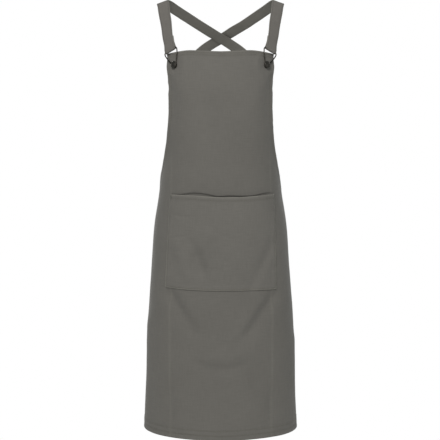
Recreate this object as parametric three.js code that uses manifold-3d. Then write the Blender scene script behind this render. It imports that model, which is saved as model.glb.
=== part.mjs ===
// Cross back apron in grey cotton canvas. One panel makes the bib, the two wings that reach round the
// sides to the back, and the skirt. A wide patch pocket is sewn on its front. Two straps run over the
// shoulders, cross behind the neck and end on the back corners of the wings. In front each strap is
// folded round the bar of a wire buckle, which hooks over a tack button at the corner of the bib.
//
// Millimetres, +Z up. The front faces -Y and +X is the viewer's right. The origin lies midway between
// the two places where the straps bear on the shoulders, at the height of their undersides.
import * as THREE from "three";
import { mergeVertices } from "three/addons/utils/BufferGeometryUtils.js";
import Module from "manifold-3d";

const wasm = await Module();
wasm.setup();

// Panel, measured flat
const BIB_TO_HEM = 862;
const BIB_WIDTH = 258;
const ARMHOLE_STRAIGHT = 104;
const ARMHOLE_DEPTH = 329;
const ARMHOLE_SQUARENESS = 2.5;
const WING_WIDTH = 640;
const WING_FALL = 1.5;
const WING_LEVEL_SHARE = 0.25;
const HEM_WIDTH = 690;
const CLOTH = 1.2;

// The form that the panel hangs round
const SHOULDER_TO_BIB = 116;
const BODY_HALF_WIDTH = 178;
const BODY_FRONT_DEPTH = 116;
const BODY_BACK_DEPTH = 106;
const BODY_FORWARD = 15;

// Pocket, measured flat
const POCKET_DROP = 314;
const POCKET_HEIGHT = 210;
const POCKET_TOP_WIDTH = 244;
const POCKET_BOTTOM_WIDTH = 257;
const POCKET_TOP_SHIFT = 5;
const POCKET_BOTTOM_SHIFT = 1;
const POCKET_LIFT = 4.5; // how much higher the pocket's lower left corner sits than its right one
const POCKET_LIFT_REACH = 60;
const POCKET_GAPE = 8;
const POCKET_RECESS = 5;
const POCKET_MARGIN = 8;
const POCKET_CLOSING = 1.4;

// Straps
const STRAP_WIDTH = 28;
const STRAP_THICKNESS = 2;
const STRAP_TAIL = 32;
const STRAP_OVERLAP = 36;
const STRAP_INSET = 17;
const STRAP_FOLD_STRAIGHT = 8;
const STRAP_FOLD_SWEEP = 1.15;
const SHOULDER_SPAN = 261;
const CROSSING_DROP = 75;
const CROSSING_DEPTH = 105;
const CROSSING_GAP = 1.6;
const CROSSING_SHIFT = 4;
const CROSSING_REACH = 78;
const CROSSING_RAMP = 0.62;

// Buckles and buttons
const WIRE = 2.6;
const BUCKLE_PLAY = 0.5;
const BUCKLE_WIDTH = STRAP_WIDTH + 2 * WIRE + BUCKLE_PLAY;
const BUCKLE_LENGTH = 43;
const BUCKLE_REACH = 37;
const BUCKLE_TURN = 15;
const BUCKLE_LEAN = 4;
const BUTTON_INSET = 24.5;
const BUTTON_DROP = 29;
const BUTTON_DIAMETER = 15;
const BUTTON_HEAD = 3.2;
const BUTTON_POST = 4.6;
const BUTTON_FOOT = 9;
const BUTTON_FOOT_HEIGHT = 0.8;
const BUTTON_HOLE_LENGTH = 7;
const BUTTON_FLAT_RADIUS = 20;
const BUTTON_FREE_RADIUS = 32;

const CLEARANCE = 0.3;
const SEAT_GAP = 0.9;
const FOLD_HEIGHT = 6;
const HEM_RISE = 24; // how much higher the hem ends at the back edges than in front
const HEM_RISE_REACH = 130;

// Body sections from the top of the bib to the hem. Down is a share of BIB_TO_HEM, width of
// BODY_HALF_WIDTH, front and back of the two depths. Square is the exponent of the superellipse.
const BODY_SECTIONS = [
  { down: 0.0, width: 0.725, front: 0.7, back: 0.84, square: 2.3 },
  { down: 0.035, width: 0.74, front: 0.825, back: 0.86, square: 2.3 },
  { down: 0.08, width: 0.745, front: 0.925, back: 0.87, square: 2.3 },
  { down: 0.16, width: 0.74, front: 0.965, back: 0.86, square: 2.3 },
  { down: 0.26, width: 0.74, front: 0.93, back: 0.84, square: 2.35 },
  { down: 0.36, width: 0.777, front: 0.905, back: 0.84, square: 2.35 },
  { down: 0.44, width: 0.837, front: 0.92, back: 0.9, square: 2.4 },
  { down: 0.55, width: 0.88, front: 0.955, back: 0.97, square: 2.45 },
  { down: 0.7, width: 0.931, front: 0.98, back: 1.0, square: 2.5 },
  { down: 0.85, width: 0.95, front: 0.99, back: 1.0, square: 2.4 },
  { down: 1.0, width: 0.99, front: 1.02, back: 1.0, square: 2.1 },
];

// Height of the top edge of the bib over its middle. Across is a share of the bib's half width, rise of
// FOLD_HEIGHT.
const TOP_EDGE = [
  { across: 0.0, rise: 0.0 },
  { across: 0.3, rise: 0.25 },
  { across: 0.55, rise: 0.48 },
  { across: 0.75, rise: 0.1 },
  { across: 1.0, rise: -0.6 },
];

// Hem of the skirt. Across is a share of half of HEM_WIDTH and rise of HEM_RISE.
const HEM_EDGE = [
  { across: 0.0, rise: 0.0 },
  { across: 0.2, rise: 0.1 },
  { across: 0.35, rise: 0.12 },
  { across: 0.5, rise: 0.13 },
  { across: 0.58, rise: 0.23 },
  { across: 0.65, rise: 0.42 },
  { across: 0.75, rise: 0.66 },
  { across: 1.0, rise: 1.0 },
];

// Soft folds, each along a line in the flat cloth. Across is a share of half HEM_WIDTH, down and reach
// are shares of BIB_TO_HEM, rise is a share of FOLD_HEIGHT, and below zero is a hollow.
const FOLDS = [
  { fromAcross: -0.34, fromDown: 0.62, toAcross: -0.1, toDown: 0.73, reach: 0.02, rise: -0.55 },
  { fromAcross: 0.36, fromDown: 0.63, toAcross: 0.13, toDown: 0.74, reach: 0.02, rise: -0.55 },
  { fromAcross: -0.12, fromDown: 0.81, toAcross: 0.12, toDown: 0.81, reach: 0.018, rise: -0.4 },
  { fromAcross: -0.33, fromDown: 0.1, toAcross: -0.32, toDown: 0.16, reach: 0.02, rise: -0.4 },
  { fromAcross: 0.33, fromDown: 0.1, toAcross: 0.32, toDown: 0.16, reach: 0.02, rise: -0.4 },
  { fromAcross: -0.57, fromDown: 0.72, toAcross: -0.6, toDown: 1.05, reach: 0.03, rise: 0.6 },
  { fromAcross: 0.57, fromDown: 0.76, toAcross: 0.6, toDown: 1.05, reach: 0.03, rise: 0.6 },
  { fromAcross: -0.83, fromDown: 0.6, toAcross: -0.84, toDown: 1.05, reach: 0.032, rise: -1.1 },
  { fromAcross: 0.82, fromDown: 0.64, toAcross: 0.85, toDown: 1.05, reach: 0.032, rise: -1.1 },
  { fromAcross: -0.95, fromDown: 0.55, toAcross: -0.97, toDown: 1.05, reach: 0.03, rise: 1.2 },
  { fromAcross: 0.95, fromDown: 0.55, toAcross: 0.97, toDown: 1.05, reach: 0.03, rise: 1.2 },
];

// Route of a strap from the bar of its buckle (1) back to the shoulder (0). Across, forward and down are
// shares of the way from the shoulder to the bar, and face is the way that the outer side looks.
const FRONT_ROUTE = [
  { across: 0.87, forward: 0.87, down: 0.86, faceX: -0.66, faceY: -0.67, faceZ: 0.31 },
  { across: 0.68, forward: 0.7, down: 0.68, faceX: -0.59, faceY: -0.72, faceZ: 0.35 },
  { across: 0.48, forward: 0.48, down: 0.44, faceX: -0.48, faceY: -0.8, faceZ: 0.36 },
  { across: 0.24, forward: 0.3, down: 0.24, faceX: -0.4, faceY: -0.82, faceZ: 0.4 },
  { across: 0.08, forward: 0.13, down: 0.07, faceX: -0.34, faceY: -0.55, faceZ: 0.76 },
];

// From the shoulder (0) to the crossing (1), in the same columns.
const BACK_ROUTE = [
  { across: 0.0, forward: 0.0, down: 0.0, faceX: -0.28, faceY: 0.02, faceZ: 0.96 },
  { across: 0.07, forward: 0.11, down: 0.05, faceX: -0.24, faceY: 0.35, faceZ: 0.9 },
  { across: 0.2, forward: 0.28, down: 0.19, faceX: -0.18, faceY: 0.5, faceZ: 0.85 },
  { across: 0.5, forward: 0.58, down: 0.5, faceX: -0.12, faceY: 0.57, faceZ: 0.81 },
  { across: 0.8, forward: 0.84, down: 0.81, faceX: -0.06, faceY: 0.62, faceZ: 0.78 },
  { across: 1.0, forward: 1.0, down: 1.0, faceX: 0.0, faceY: 0.66, faceZ: 0.75 },
];

// From the crossing (0) to the top of the wing (1), in the same columns.
const WING_ROUTE = [
  { across: 0.29, forward: -0.26, down: 0.038, faceX: 0.0, faceY: 0.7, faceZ: 0.71 },
  { across: 0.6, forward: -0.38, down: 0.088, faceX: 0.03, faceY: 0.74, faceZ: 0.67 },
  { across: 0.93, forward: -0.4, down: 0.165, faceX: 0.08, faceY: 0.86, faceZ: 0.5 },
  { across: 1.12, forward: -0.25, down: 0.3, faceX: 0.18, faceY: 0.95, faceZ: 0.25 },
  { across: 1.12, forward: 0.2, down: 0.5, faceX: 0.26, faceY: 0.96, faceZ: 0.05 },
  { across: 1.06, forward: 0.6, down: 0.74, faceX: 0.36, faceY: 0.93, faceZ: 0.02 },
];

// Half of the buckle's wire, from the middle of its bar to the end of its slot. Half is a share of half
// BUCKLE_WIDTH and down of BUCKLE_LENGTH.
const BUCKLE_OUTLINE = [
  { half: 0.0, down: 0.0 },
  { half: 0.45, down: 0.0 },
  { half: 0.7, down: 0.0 },
  { half: 0.9, down: 0.0 },
  { half: 1.0, down: 0.075 },
  { half: 0.95, down: 0.2 },
  { half: 0.74, down: 0.43 },
  { half: 0.46, down: 0.66 },
  { half: 0.33, down: 0.8 },
  { half: 0.29, down: 0.9 },
  { half: 0.17, down: 0.98 },
  { half: 0.0, down: 1.0 },
];

// Outline of a button's head from the neck of its post to the middle of its face. Radius is a share of
// half BUTTON_DIAMETER and height of BUTTON_HEAD.
const BUTTON_OUTLINE = [
  { radius: 0.8, height: 0.0 },
  { radius: 1.0, height: 0.35 },
  { radius: 1.0, height: 0.6 },
  { radius: 0.92, height: 0.85 },
  { radius: 0.8, height: 0.8 },
  { radius: 0.45, height: 1.0 },
  { radius: 0.0, height: 1.05 },
];

// How finely the pieces are divided
const BIB_ROWS = 17;
const POCKET_ROWS = 9;
const SKIRT_ROWS = 12;
const POCKET_COLUMNS = 6;
const WING_COLUMNS = 9;
const WALK_STEPS = 180;
const ROUTE_STEPS = 4;
const WRAP_STEPS = 8;
const WIRE_STEPS = 56;
const WIRE_SIDES = 8;
const BUTTON_SIDES = 20;

const cotton = new THREE.MeshStandardMaterial({ color: 0x66645f, roughness: 0.95, metalness: 0 });
const gunmetal = new THREE.MeshStandardMaterial({ color: 0x2e2d2b, roughness: 0.35, metalness: 1 });

const radians = THREE.MathUtils.degToRad;
const lerp = THREE.MathUtils.lerp;
const TOP = -SHOULDER_TO_BIB;
const HEM = TOP - BIB_TO_HEM;
const POCKET_TOP = TOP - POCKET_DROP;
const POCKET_BOTTOM = POCKET_TOP - POCKET_HEIGHT;
const ARMHOLE_TOP = TOP - ARMHOLE_STRAIGHT;
const WING_TOP = TOP - ARMHOLE_DEPTH;

// From the middle of a buckle's bar to the middle of the strap round it.
const STRAP_WRAP = (WIRE + STRAP_THICKNESS) / 2 + CLEARANCE;

// A smooth function through the rows of a table.
function through(rows, along, columns) {
  const places = rows.map((row) => row[along]);
  const values = rows.flatMap((row) => columns.map((column) => row[column]));
  const curve = new THREE.CubicInterpolant(places, values, columns.length);
  return (at) => Array.from(curve.evaluate(at));
}

const bodyAt = through(BODY_SECTIONS, "down", ["width", "front", "back", "square"]);
const topEdgeAt = through(TOP_EDGE, "across", ["rise"]);
const hemEdgeAt = through(HEM_EDGE, "across", ["rise"]);

// The point that cloth of length |s| reaches, laid round the body from the middle of its front.
function bodyPoint(s, z) {
  const [width, front, back, square] = bodyAt((TOP - z) / BIB_TO_HEM);
  const power = 2 / square;
  let x = 0;
  let y = -front * BODY_FRONT_DEPTH;
  let left = Math.abs(s);
  for (let step = 1; step <= WALK_STEPS && left > 0; step += 1) {
    const turn = (Math.PI * step) / WALK_STEPS;
    const depth = turn < Math.PI / 2 ? -front * BODY_FRONT_DEPTH : back * BODY_BACK_DEPTH;
    const nextX = width * BODY_HALF_WIDTH * Math.abs(Math.sin(turn)) ** power;
    const nextY = depth * Math.abs(Math.cos(turn)) ** power;
    const stride = Math.hypot(nextX - x, nextY - y);
    const share = Math.min(1, left / stride);
    x = lerp(x, nextX, share);
    y = lerp(y, nextY, share);
    left -= stride;
  }
  return new THREE.Vector3(Math.sign(s) * x, y - BODY_FORWARD, z);
}

// The outward direction square to a surface that is given as a function of s and z.
function outward(surface, s, z) {
  const across = surface(s + 1, z).sub(surface(s - 1, z));
  const down = surface(s, z - 1).sub(surface(s, z + 1));
  return down.cross(across).normalize();
}

function foldHeight(s, z) {
  const here = new THREE.Vector3(s, z, 0);
  const nearest = new THREE.Vector3();
  let height = 0;
  for (const fold of FOLDS) {
    const from = new THREE.Vector3((fold.fromAcross * HEM_WIDTH) / 2, TOP - fold.fromDown * BIB_TO_HEM, 0);
    const to = new THREE.Vector3((fold.toAcross * HEM_WIDTH) / 2, TOP - fold.toDown * BIB_TO_HEM, 0);
    new THREE.Line3(from, to).closestPointToPoint(here, true, nearest);
    const away = nearest.distanceTo(here) / (fold.reach * BIB_TO_HEM);
    height += fold.rise * FOLD_HEIGHT * Math.exp(-away * away);
  }
  return height;
}

function clothPoint(s, z) {
  return bodyPoint(s, z).addScaledVector(outward(bodyPoint, s, z), foldHeight(s, z));
}

// The armhole as points in the flat cloth: straight down the side of the bib, then out to the wing.
function armholeCurve() {
  const power = 2 / ARMHOLE_SQUARENESS;
  const points = [];
  for (let step = 0; step <= WALK_STEPS; step += 1) {
    const turn = (Math.PI / 2) * (step / WALK_STEPS);
    const across = 1 - Math.max(0, Math.cos(turn)) ** power;
    const down = Math.sin(turn) ** power;
    points.push(new THREE.Vector2(
      lerp(BIB_WIDTH / 2, WING_WIDTH / 2, across),
      lerp(ARMHOLE_TOP, WING_TOP, down),
    ));
  }
  return new THREE.CatmullRomCurve3(points.map((point) => new THREE.Vector3(point.x, point.y, 0)));
}

// Rows start level in the middle of the front. Those below the straight side of the bib end on the
// armhole, and from WING_LEVEL down they end on the back edge of the skirt.
const WING_LEVEL = lerp(WING_TOP, POCKET_BOTTOM, WING_LEVEL_SHARE);
const armhole = armholeCurve();

function rowEnd(level) {
  if (level >= ARMHOLE_TOP) return { s: BIB_WIDTH / 2, z: level };
  if (level >= WING_LEVEL) {
    const point = armhole.getPointAt((ARMHOLE_TOP - level) / (ARMHOLE_TOP - WING_LEVEL));
    return { s: point.x, z: point.y };
  }
  const share = (WING_LEVEL - level) / (WING_LEVEL - HEM);
  return { s: lerp(WING_WIDTH, HEM_WIDTH, share) / 2, z: lerp(WING_TOP, HEM, share) };
}

function pocketHalfWidth(z) {
  const share = THREE.MathUtils.clamp((POCKET_TOP - z) / POCKET_HEIGHT, 0, 1);
  return lerp(POCKET_TOP_WIDTH, POCKET_BOTTOM_WIDTH, share) / 2;
}

// How much higher a place on the pocket lies than straight across, most at its lower left corner.
function pocketLift(s, z) {
  const share = THREE.MathUtils.clamp((-2 * s) / POCKET_BOTTOM_WIDTH, 0, 1);
  const near = (z - POCKET_BOTTOM) / POCKET_LIFT_REACH;
  return POCKET_LIFT * share * share * Math.exp(-near * near);
}

// How far the hem rises above its lowest line.
function hemRise(away, level) {
  const fade = Math.max(0, 1 - (level - HEM) / HEM_RISE_REACH);
  return hemEdgeAt(Math.min(1, away / (HEM_WIDTH / 2)))[0] * HEM_RISE * fade * fade;
}

// How far the middle of the pocket lies from the middle of the panel.
function pocketShift(z) {
  const share = THREE.MathUtils.clamp((POCKET_TOP - z) / POCKET_HEIGHT, 0, 1);
  return lerp(POCKET_TOP_SHIFT, POCKET_BOTTOM_SHIFT, share);
}

// Place in the flat cloth of a grid node. Columns up to POCKET_COLUMNS each side carry the pocket, the
// next one is a margin, and the rest spread over the wing.
function gridNode(level, column) {
  const end = rowEnd(level);
  const above = THREE.MathUtils.clamp((level - POCKET_TOP) / POCKET_DROP, 0, 1);
  const count = Math.abs(column);
  const side = Math.sign(column);
  const pocket = pocketHalfWidth(level) + side * pocketShift(level);
  const margin = Math.min(end.s, lerp(pocket + POCKET_MARGIN, BIB_WIDTH / 2, above));
  const middle = (1 - above) * pocketShift(level);
  const inner = lerp(pocket, margin - POCKET_MARGIN, above);
  const away = count <= POCKET_COLUMNS
    ? lerp(middle * side, inner, count / POCKET_COLUMNS)
    : lerp(margin, end.s, (count - POCKET_COLUMNS - 1) / WING_COLUMNS);
  const spread = end.s > margin ? Math.max(0, (away - margin) / (end.s - margin)) : 0;
  const bibShare = Math.min(1, away / (BIB_WIDTH / 2));
  const fade = Math.max(0, 1 - (TOP - level) / ARMHOLE_STRAIGHT);
  const rise = topEdgeAt(bibShare)[0] * FOLD_HEIGHT * fade * fade;
  const s = side === 0 ? middle : side * away;
  const lift = rise + hemRise(away, level) + pocketLift(s, level);
  return { s, z: lerp(level, end.z, spread ** WING_FALL) + lift, level, column };
}

// How far the cloth of a node lies from the plain surface, where the pocket bags open.
function pocketShare(level, column) {
  const across = 1 - (column / POCKET_COLUMNS) ** 2;
  if (across <= 0 || level <= POCKET_BOTTOM) return 0;
  const height = level > POCKET_TOP ? 0 : 1 - (POCKET_TOP - level) / POCKET_HEIGHT;
  return Math.sqrt(across) * height ** POCKET_CLOSING;
}

function levels(from, to, count) {
  return Array.from({ length: count }, (_, row) => lerp(from, to, row / count));
}

const PANEL_LEVELS = [
  ...levels(TOP, POCKET_TOP, BIB_ROWS),
  ...levels(POCKET_TOP, POCKET_BOTTOM, POCKET_ROWS),
  ...levels(POCKET_BOTTOM, HEM, SKIRT_ROWS),
  HEM,
];
const POCKET_LEVELS = [...levels(POCKET_TOP, POCKET_BOTTOM, POCKET_ROWS), POCKET_BOTTOM];

// A closed sheet of cloth over a grid of nodes. Place gives the middle of the cloth at a node.
function clothSheet(rowLevels, halfColumns, place, thickness) {
  const outer = [];
  const inner = [];
  const columns = 2 * halfColumns + 1;
  for (const level of rowLevels) {
    for (let column = -halfColumns; column <= halfColumns; column += 1) {
      const node = gridNode(level, column);
      const middle = place(node);
      const normal = outward(hungPoint, node.s, node.z);
      outer.push(middle.clone().addScaledVector(normal, thickness / 2));
      inner.push(middle.clone().addScaledVector(normal, -thickness / 2));
    }
  }
  const faces = [];
  const count = outer.length;
  for (let row = 0; row + 1 < rowLevels.length; row += 1) {
    for (let column = 0; column + 1 < columns; column += 1) {
      const a = row * columns + column;
      const b = a + columns;
      faces.push([a, b, b + 1], [a, b + 1, a + 1]);
      faces.push([a + count, b + 1 + count, b + count], [a + count, a + 1 + count, b + 1 + count]);
    }
  }
  const ring = border(rowLevels.length, columns);
  ring.forEach((from, index) => {
    const to = ring[(index + 1) % ring.length];
    faces.push([from, to, to + count], [from, to + count, from + count]);
  });
  return closedGeometry([...outer, ...inner], faces);
}

// The nodes round the edge of a grid, in the order that turns the wall between the two sides outwards.
function border(rows, columns) {
  const ring = [];
  for (let column = 0; column < columns - 1; column += 1) ring.push(column);
  for (let row = 0; row < rows - 1; row += 1) ring.push(row * columns + columns - 1);
  for (let column = columns - 1; column > 0; column -= 1) ring.push((rows - 1) * columns + column);
  for (let row = rows - 1; row > 0; row -= 1) ring.push(row * columns);
  return ring;
}

// Joins points that coincide and drops the faces that collapse with them.
function closedGeometry(points, faces) {
  const loose = new THREE.BufferGeometry();
  loose.setFromPoints(points);
  loose.setIndex(faces.flat());
  const merged = mergeVertices(loose, 1e-3);
  const index = merged.getIndex().array;
  const kept = [];
  for (let at = 0; at < index.length; at += 3) {
    const [a, b, c] = [index[at], index[at + 1], index[at + 2]];
    if (a !== b && b !== c && c !== a) kept.push(a, b, c);
  }
  merged.setIndex(kept);
  merged.computeVertexNormals();
  return merged;
}

function asSolid(geometry) {
  const bare = geometry.clone();
  bare.deleteAttribute("normal");
  bare.deleteAttribute("uv");
  const merged = mergeVertices(bare, 1e-4);
  return new wasm.Manifold(new wasm.Mesh({
    numProp: 3,
    vertProperties: new Float32Array(merged.getAttribute("position").array),
    triVerts: new Uint32Array(merged.getIndex().array),
  }));
}

function asGeometry(solid) {
  const mesh = solid.getMesh();
  const geometry = new THREE.BufferGeometry();
  geometry.setAttribute("position", new THREE.BufferAttribute(mesh.vertProperties, 3));
  geometry.setIndex(new THREE.BufferAttribute(mesh.triVerts, 1));
  geometry.computeVertexNormals();
  return geometry;
}

// Where a button stands on the bib and how its buckle hangs from it. Side is -1 left and 1 right.
function clasp(side) {
  const s = side * (BIB_WIDTH / 2 - BUTTON_INSET);
  const z = TOP - BUTTON_DROP;
  const seat = clothPoint(s, z);
  const normal = outward(clothPoint, s, z);
  const down = clothPoint(s, z - 1).sub(seat).normalize();
  const inwards = clothPoint(s - side, z).sub(seat).normalize();
  const turn = radians(BUCKLE_TURN);
  const lean = radians(BUCKLE_LEAN);
  const along = down.multiplyScalar(Math.cos(turn)).addScaledVector(inwards, Math.sin(turn)).normalize();
  along.multiplyScalar(Math.cos(lean)).addScaledVector(normal, -Math.sin(lean)).normalize();
  const bar = new THREE.Vector3().crossVectors(normal, along).normalize();
  const face = new THREE.Vector3().crossVectors(along, bar).normalize();
  const rides = CLOTH / 2 + CLEARANCE + BUTTON_FOOT_HEIGHT + CLEARANCE + WIRE / 2;
  const neck = seat.clone().addScaledVector(normal, rides);
  const middle = neck.clone().addScaledVector(along, -BUCKLE_REACH);
  return { seat, normal, along, bar, face, middle };
}

// Where the straps cross behind the neck, on the inner one.
const CROSSING = new THREE.Vector3(CROSSING_SHIFT, CROSSING_DEPTH, -CROSSING_DROP);

const clasps = { "-1": clasp(-1), 1: clasp(1) };

// The cloth as it hangs, pressed flat under each button.
function hungPoint(s, z) {
  const point = clothPoint(s, z);
  for (const side of [-1, 1]) {
    const { seat, normal } = clasps[side];
    const away = point.distanceTo(seat);
    const pressed = 1 - THREE.MathUtils.smoothstep(away, BUTTON_FLAT_RADIUS, BUTTON_FREE_RADIUS);
    point.addScaledVector(normal, -pressed * normal.dot(point.clone().sub(seat)));
  }
  return point;
}

// A button's outline, turned about its axis from the back of the cloth to the front of its head. The
// post passes through the cloth and ends in a small tack behind it.
function buttonGeometry() {
  const cloth = CLOTH / 2 + CLEARANCE;
  const head = cloth + BUTTON_FOOT_HEIGHT + WIRE + 2 * CLEARANCE;
  const post = BUTTON_POST / 2;
  const foot = BUTTON_FOOT / 2;
  const outline = [
    new THREE.Vector2(0, -cloth - BUTTON_FOOT_HEIGHT),
    new THREE.Vector2(post, -cloth - BUTTON_FOOT_HEIGHT),
    new THREE.Vector2(foot, -cloth),
    new THREE.Vector2(post, -cloth),
    new THREE.Vector2(post, cloth),
    new THREE.Vector2(foot, cloth),
    new THREE.Vector2(foot, cloth + BUTTON_FOOT_HEIGHT / 2),
    new THREE.Vector2(post, cloth + BUTTON_FOOT_HEIGHT),
    new THREE.Vector2(post, head),
    ...BUTTON_OUTLINE.map(({ radius, height }) => (
      new THREE.Vector2((radius * BUTTON_DIAMETER) / 2, head + height * BUTTON_HEAD)
    )),
  ];
  return new THREE.LatheGeometry(outline, BUTTON_SIDES);
}

function buttonMesh(side) {
  const { seat, normal } = clasps[side];
  const mesh = new THREE.Mesh(buttonGeometry(), gunmetal);
  mesh.name = side < 0 ? "button_left" : "button_right";
  mesh.position.copy(seat);
  mesh.quaternion.setFromUnitVectors(new THREE.Vector3(0, 1, 0), normal);
  return mesh;
}

// A buckle's wire, bent in the plane of its bar and its length.
function buckleMesh(side) {
  const { along, bar, face, middle } = clasps[side];
  const half = BUCKLE_OUTLINE.map((row) => new THREE.Vector3(
    (row.half * BUCKLE_WIDTH) / 2,
    row.down * BUCKLE_LENGTH,
    0,
  ));
  const other = half.slice(1, -1).reverse().map((point) => new THREE.Vector3(-point.x, point.y, 0));
  const path = new THREE.CatmullRomCurve3([...half, ...other], true);
  const tube = new THREE.TubeGeometry(path, WIRE_STEPS, WIRE / 2, WIRE_SIDES, true);
  tube.deleteAttribute("normal");
  tube.deleteAttribute("uv");
  const wire = mergeVertices(tube, 1e-3);
  wire.computeVertexNormals();
  const mesh = new THREE.Mesh(wire, gunmetal);
  mesh.name = side < 0 ? "buckle_left" : "buckle_right";
  mesh.position.copy(middle);
  mesh.quaternion.setFromRotationMatrix(new THREE.Matrix4().makeBasis(bar, along, face.clone().negate()));
  return mesh;
}

function panelMesh() {
  const sheet = clothSheet(PANEL_LEVELS, POCKET_COLUMNS + 1 + WING_COLUMNS, (node) => {
    const recess = POCKET_RECESS * pocketShare(node.level, node.column);
    const point = hungPoint(node.s, node.z);
    return point.addScaledVector(outward(hungPoint, node.s, node.z), -recess);
  }, CLOTH);
  let solid = asSolid(sheet);
  for (const side of [-1, 1]) {
    const { seat, normal } = clasps[side];
    const radius = BUTTON_POST / 2 + CLEARANCE;
    const hole = new THREE.CylinderGeometry(radius, radius, BUTTON_HOLE_LENGTH, BUTTON_SIDES);
    hole.applyQuaternion(new THREE.Quaternion().setFromUnitVectors(new THREE.Vector3(0, 1, 0), normal));
    hole.translate(seat.x, seat.y, seat.z);
    solid = solid.subtract(asSolid(hole));
  }
  const mesh = new THREE.Mesh(asGeometry(solid), cotton);
  mesh.name = "body_panel";
  return mesh;
}

function pocketMesh() {
  const sheet = clothSheet(POCKET_LEVELS, POCKET_COLUMNS, (node) => {
    const off = CLOTH + CLEARANCE + POCKET_GAPE * pocketShare(node.level, node.column);
    const point = hungPoint(node.s, node.z);
    return point.addScaledVector(outward(hungPoint, node.s, node.z), off);
  }, CLOTH);
  const mesh = new THREE.Mesh(sheet, cotton);
  mesh.name = "pocket";
  return mesh;
}

// The free run of a strap, named for its side in front, as centres and outer faces. The route tables are
// written for the left one.
function strapRun(side) {
  const { middle, bar } = clasps[side];
  const shoulder = new THREE.Vector3((side * SHOULDER_SPAN) / 2, 0, STRAP_THICKNESS / 2);
  const up = shoulder.clone().sub(middle).multiply(new THREE.Vector3(1, STRAP_FOLD_SWEEP, 1)).normalize();
  up.addScaledVector(bar, -up.dot(bar)).normalize();
  const face = bar.clone().cross(up).normalize();
  const fold = middle.clone().addScaledVector(face, STRAP_WRAP);
  const onWing = (z) => {
    const s = side * (STRAP_INSET - rowEnd(WING_LEVEL).s);
    const normal = outward(clothPoint, s, z);
    const off = (CLOTH + STRAP_THICKNESS) / 2 + SEAT_GAP;
    return { centre: clothPoint(s, z).addScaledVector(normal, off), face: normal };
  };
  const wing = onWing(WING_TOP);
  const leg = (rows, from, to) => rows.map((row) => ({
    centre: new THREE.Vector3(
      lerp(from.x, to.x, row.across),
      lerp(from.y, to.y, row.forward),
      lerp(from.z, to.z, row.down),
    ),
    face: new THREE.Vector3(-side * row.faceX, row.faceY, row.faceZ),
  }));
  return [
    { centre: fold, face },
    { centre: fold.clone().addScaledVector(up, STRAP_FOLD_STRAIGHT), face },
    ...leg(FRONT_ROUTE, shoulder, fold),
    ...leg(BACK_ROUTE, shoulder, CROSSING),
    ...leg(WING_ROUTE, CROSSING, wing.centre),
    wing,
    onWing(WING_TOP - STRAP_OVERLAP / 2),
    onWing(WING_TOP - STRAP_OVERLAP),
  ];
}

// Cross sections along a strap: the tail sewn behind, the turn round the bar, then the run.
function strapSections(side, lift) {
  const knots = strapRun(side);
  const centres = new THREE.CatmullRomCurve3(knots.map((knot) => knot.centre));
  const faces = new THREE.CatmullRomCurve3(knots.map((knot) => knot.face));
  const steps = (knots.length - 1) * ROUTE_STEPS;
  const { middle, bar } = clasps[side];
  const run = [];
  let walked = 0;
  for (let step = 0; step <= steps; step += 1) {
    const centre = centres.getPoint(step / steps);
    const along = centres.getTangent(step / steps);
    const across = step === 0 ? bar.clone() : along.clone().cross(faces.getPoint(step / steps)).normalize();
    const face = across.clone().cross(along).normalize();
    const near = 1 - centre.distanceTo(CROSSING) / CROSSING_REACH;
    centre.addScaledVector(face, lift * THREE.MathUtils.smoothstep(near, 0, CROSSING_RAMP));
    walked += step === 0 ? 0 : centre.distanceTo(run[step - 1].centre);
    run.push({ centre, across, face, walked });
  }
  const start = run[0];
  const forward = start.face.clone();
  const down = start.across.clone().cross(forward).normalize();
  const turns = Array.from({ length: WRAP_STEPS - 1 }, (_, step) => {
    const turn = Math.PI * (1 - (step + 1) / WRAP_STEPS);
    const face = forward.clone().multiplyScalar(Math.cos(turn)).addScaledVector(down, Math.sin(turn));
    return { centre: middle.clone().addScaledVector(face, STRAP_WRAP), across: start.across, face };
  });
  const tail = run.filter((section) => section.walked <= STRAP_TAIL).reverse().map((section) => {
    const near = THREE.MathUtils.clamp(1 - (section.walked - 2 * WIRE) / (STRAP_TAIL / 2), 0, 1);
    const apart = lerp(STRAP_THICKNESS + CLEARANCE, 2 * STRAP_WRAP, near * near);
    return {
      centre: section.centre.clone().addScaledVector(section.face, -apart),
      across: section.across,
      face: section.face.clone().negate(),
    };
  });
  return [...tail, ...turns, ...run];
}

// A strap as a closed band. The right one passes outside the left one where they cross.
function strapMesh(side) {
  const lift = side > 0 ? STRAP_THICKNESS + CROSSING_GAP : 0;
  const sections = strapSections(side, lift);
  const points = sections.flatMap(({ centre, across, face }) => (
    [[-1, 1], [1, 1], [1, -1], [-1, -1]].map(([edge, out]) => (
      centre.clone()
        .addScaledVector(across, (edge * STRAP_WIDTH) / 2)
        .addScaledVector(face, (out * STRAP_THICKNESS) / 2)
    ))
  ));
  const faces = [];
  for (let section = 0; section + 1 < sections.length; section += 1) {
    for (let edge = 0; edge < 4; edge += 1) {
      const a = section * 4 + edge;
      const b = section * 4 + ((edge + 1) % 4);
      faces.push([a, b, b + 4], [a, b + 4, a + 4]);
    }
  }
  const last = points.length - 4;
  faces.push([0, 3, 2], [0, 2, 1], [last, last + 1, last + 2], [last, last + 2, last + 3]);
  const mesh = new THREE.Mesh(closedGeometry(points, faces), cotton);
  mesh.name = side < 0 ? "strap_left" : "strap_right";
  return mesh;
}

const group = new THREE.Group();
group.add(panelMesh(), pocketMesh());
for (const side of [-1, 1]) {
  group.add(strapMesh(side), buckleMesh(side), buttonMesh(side));
}

export default group;
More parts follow.
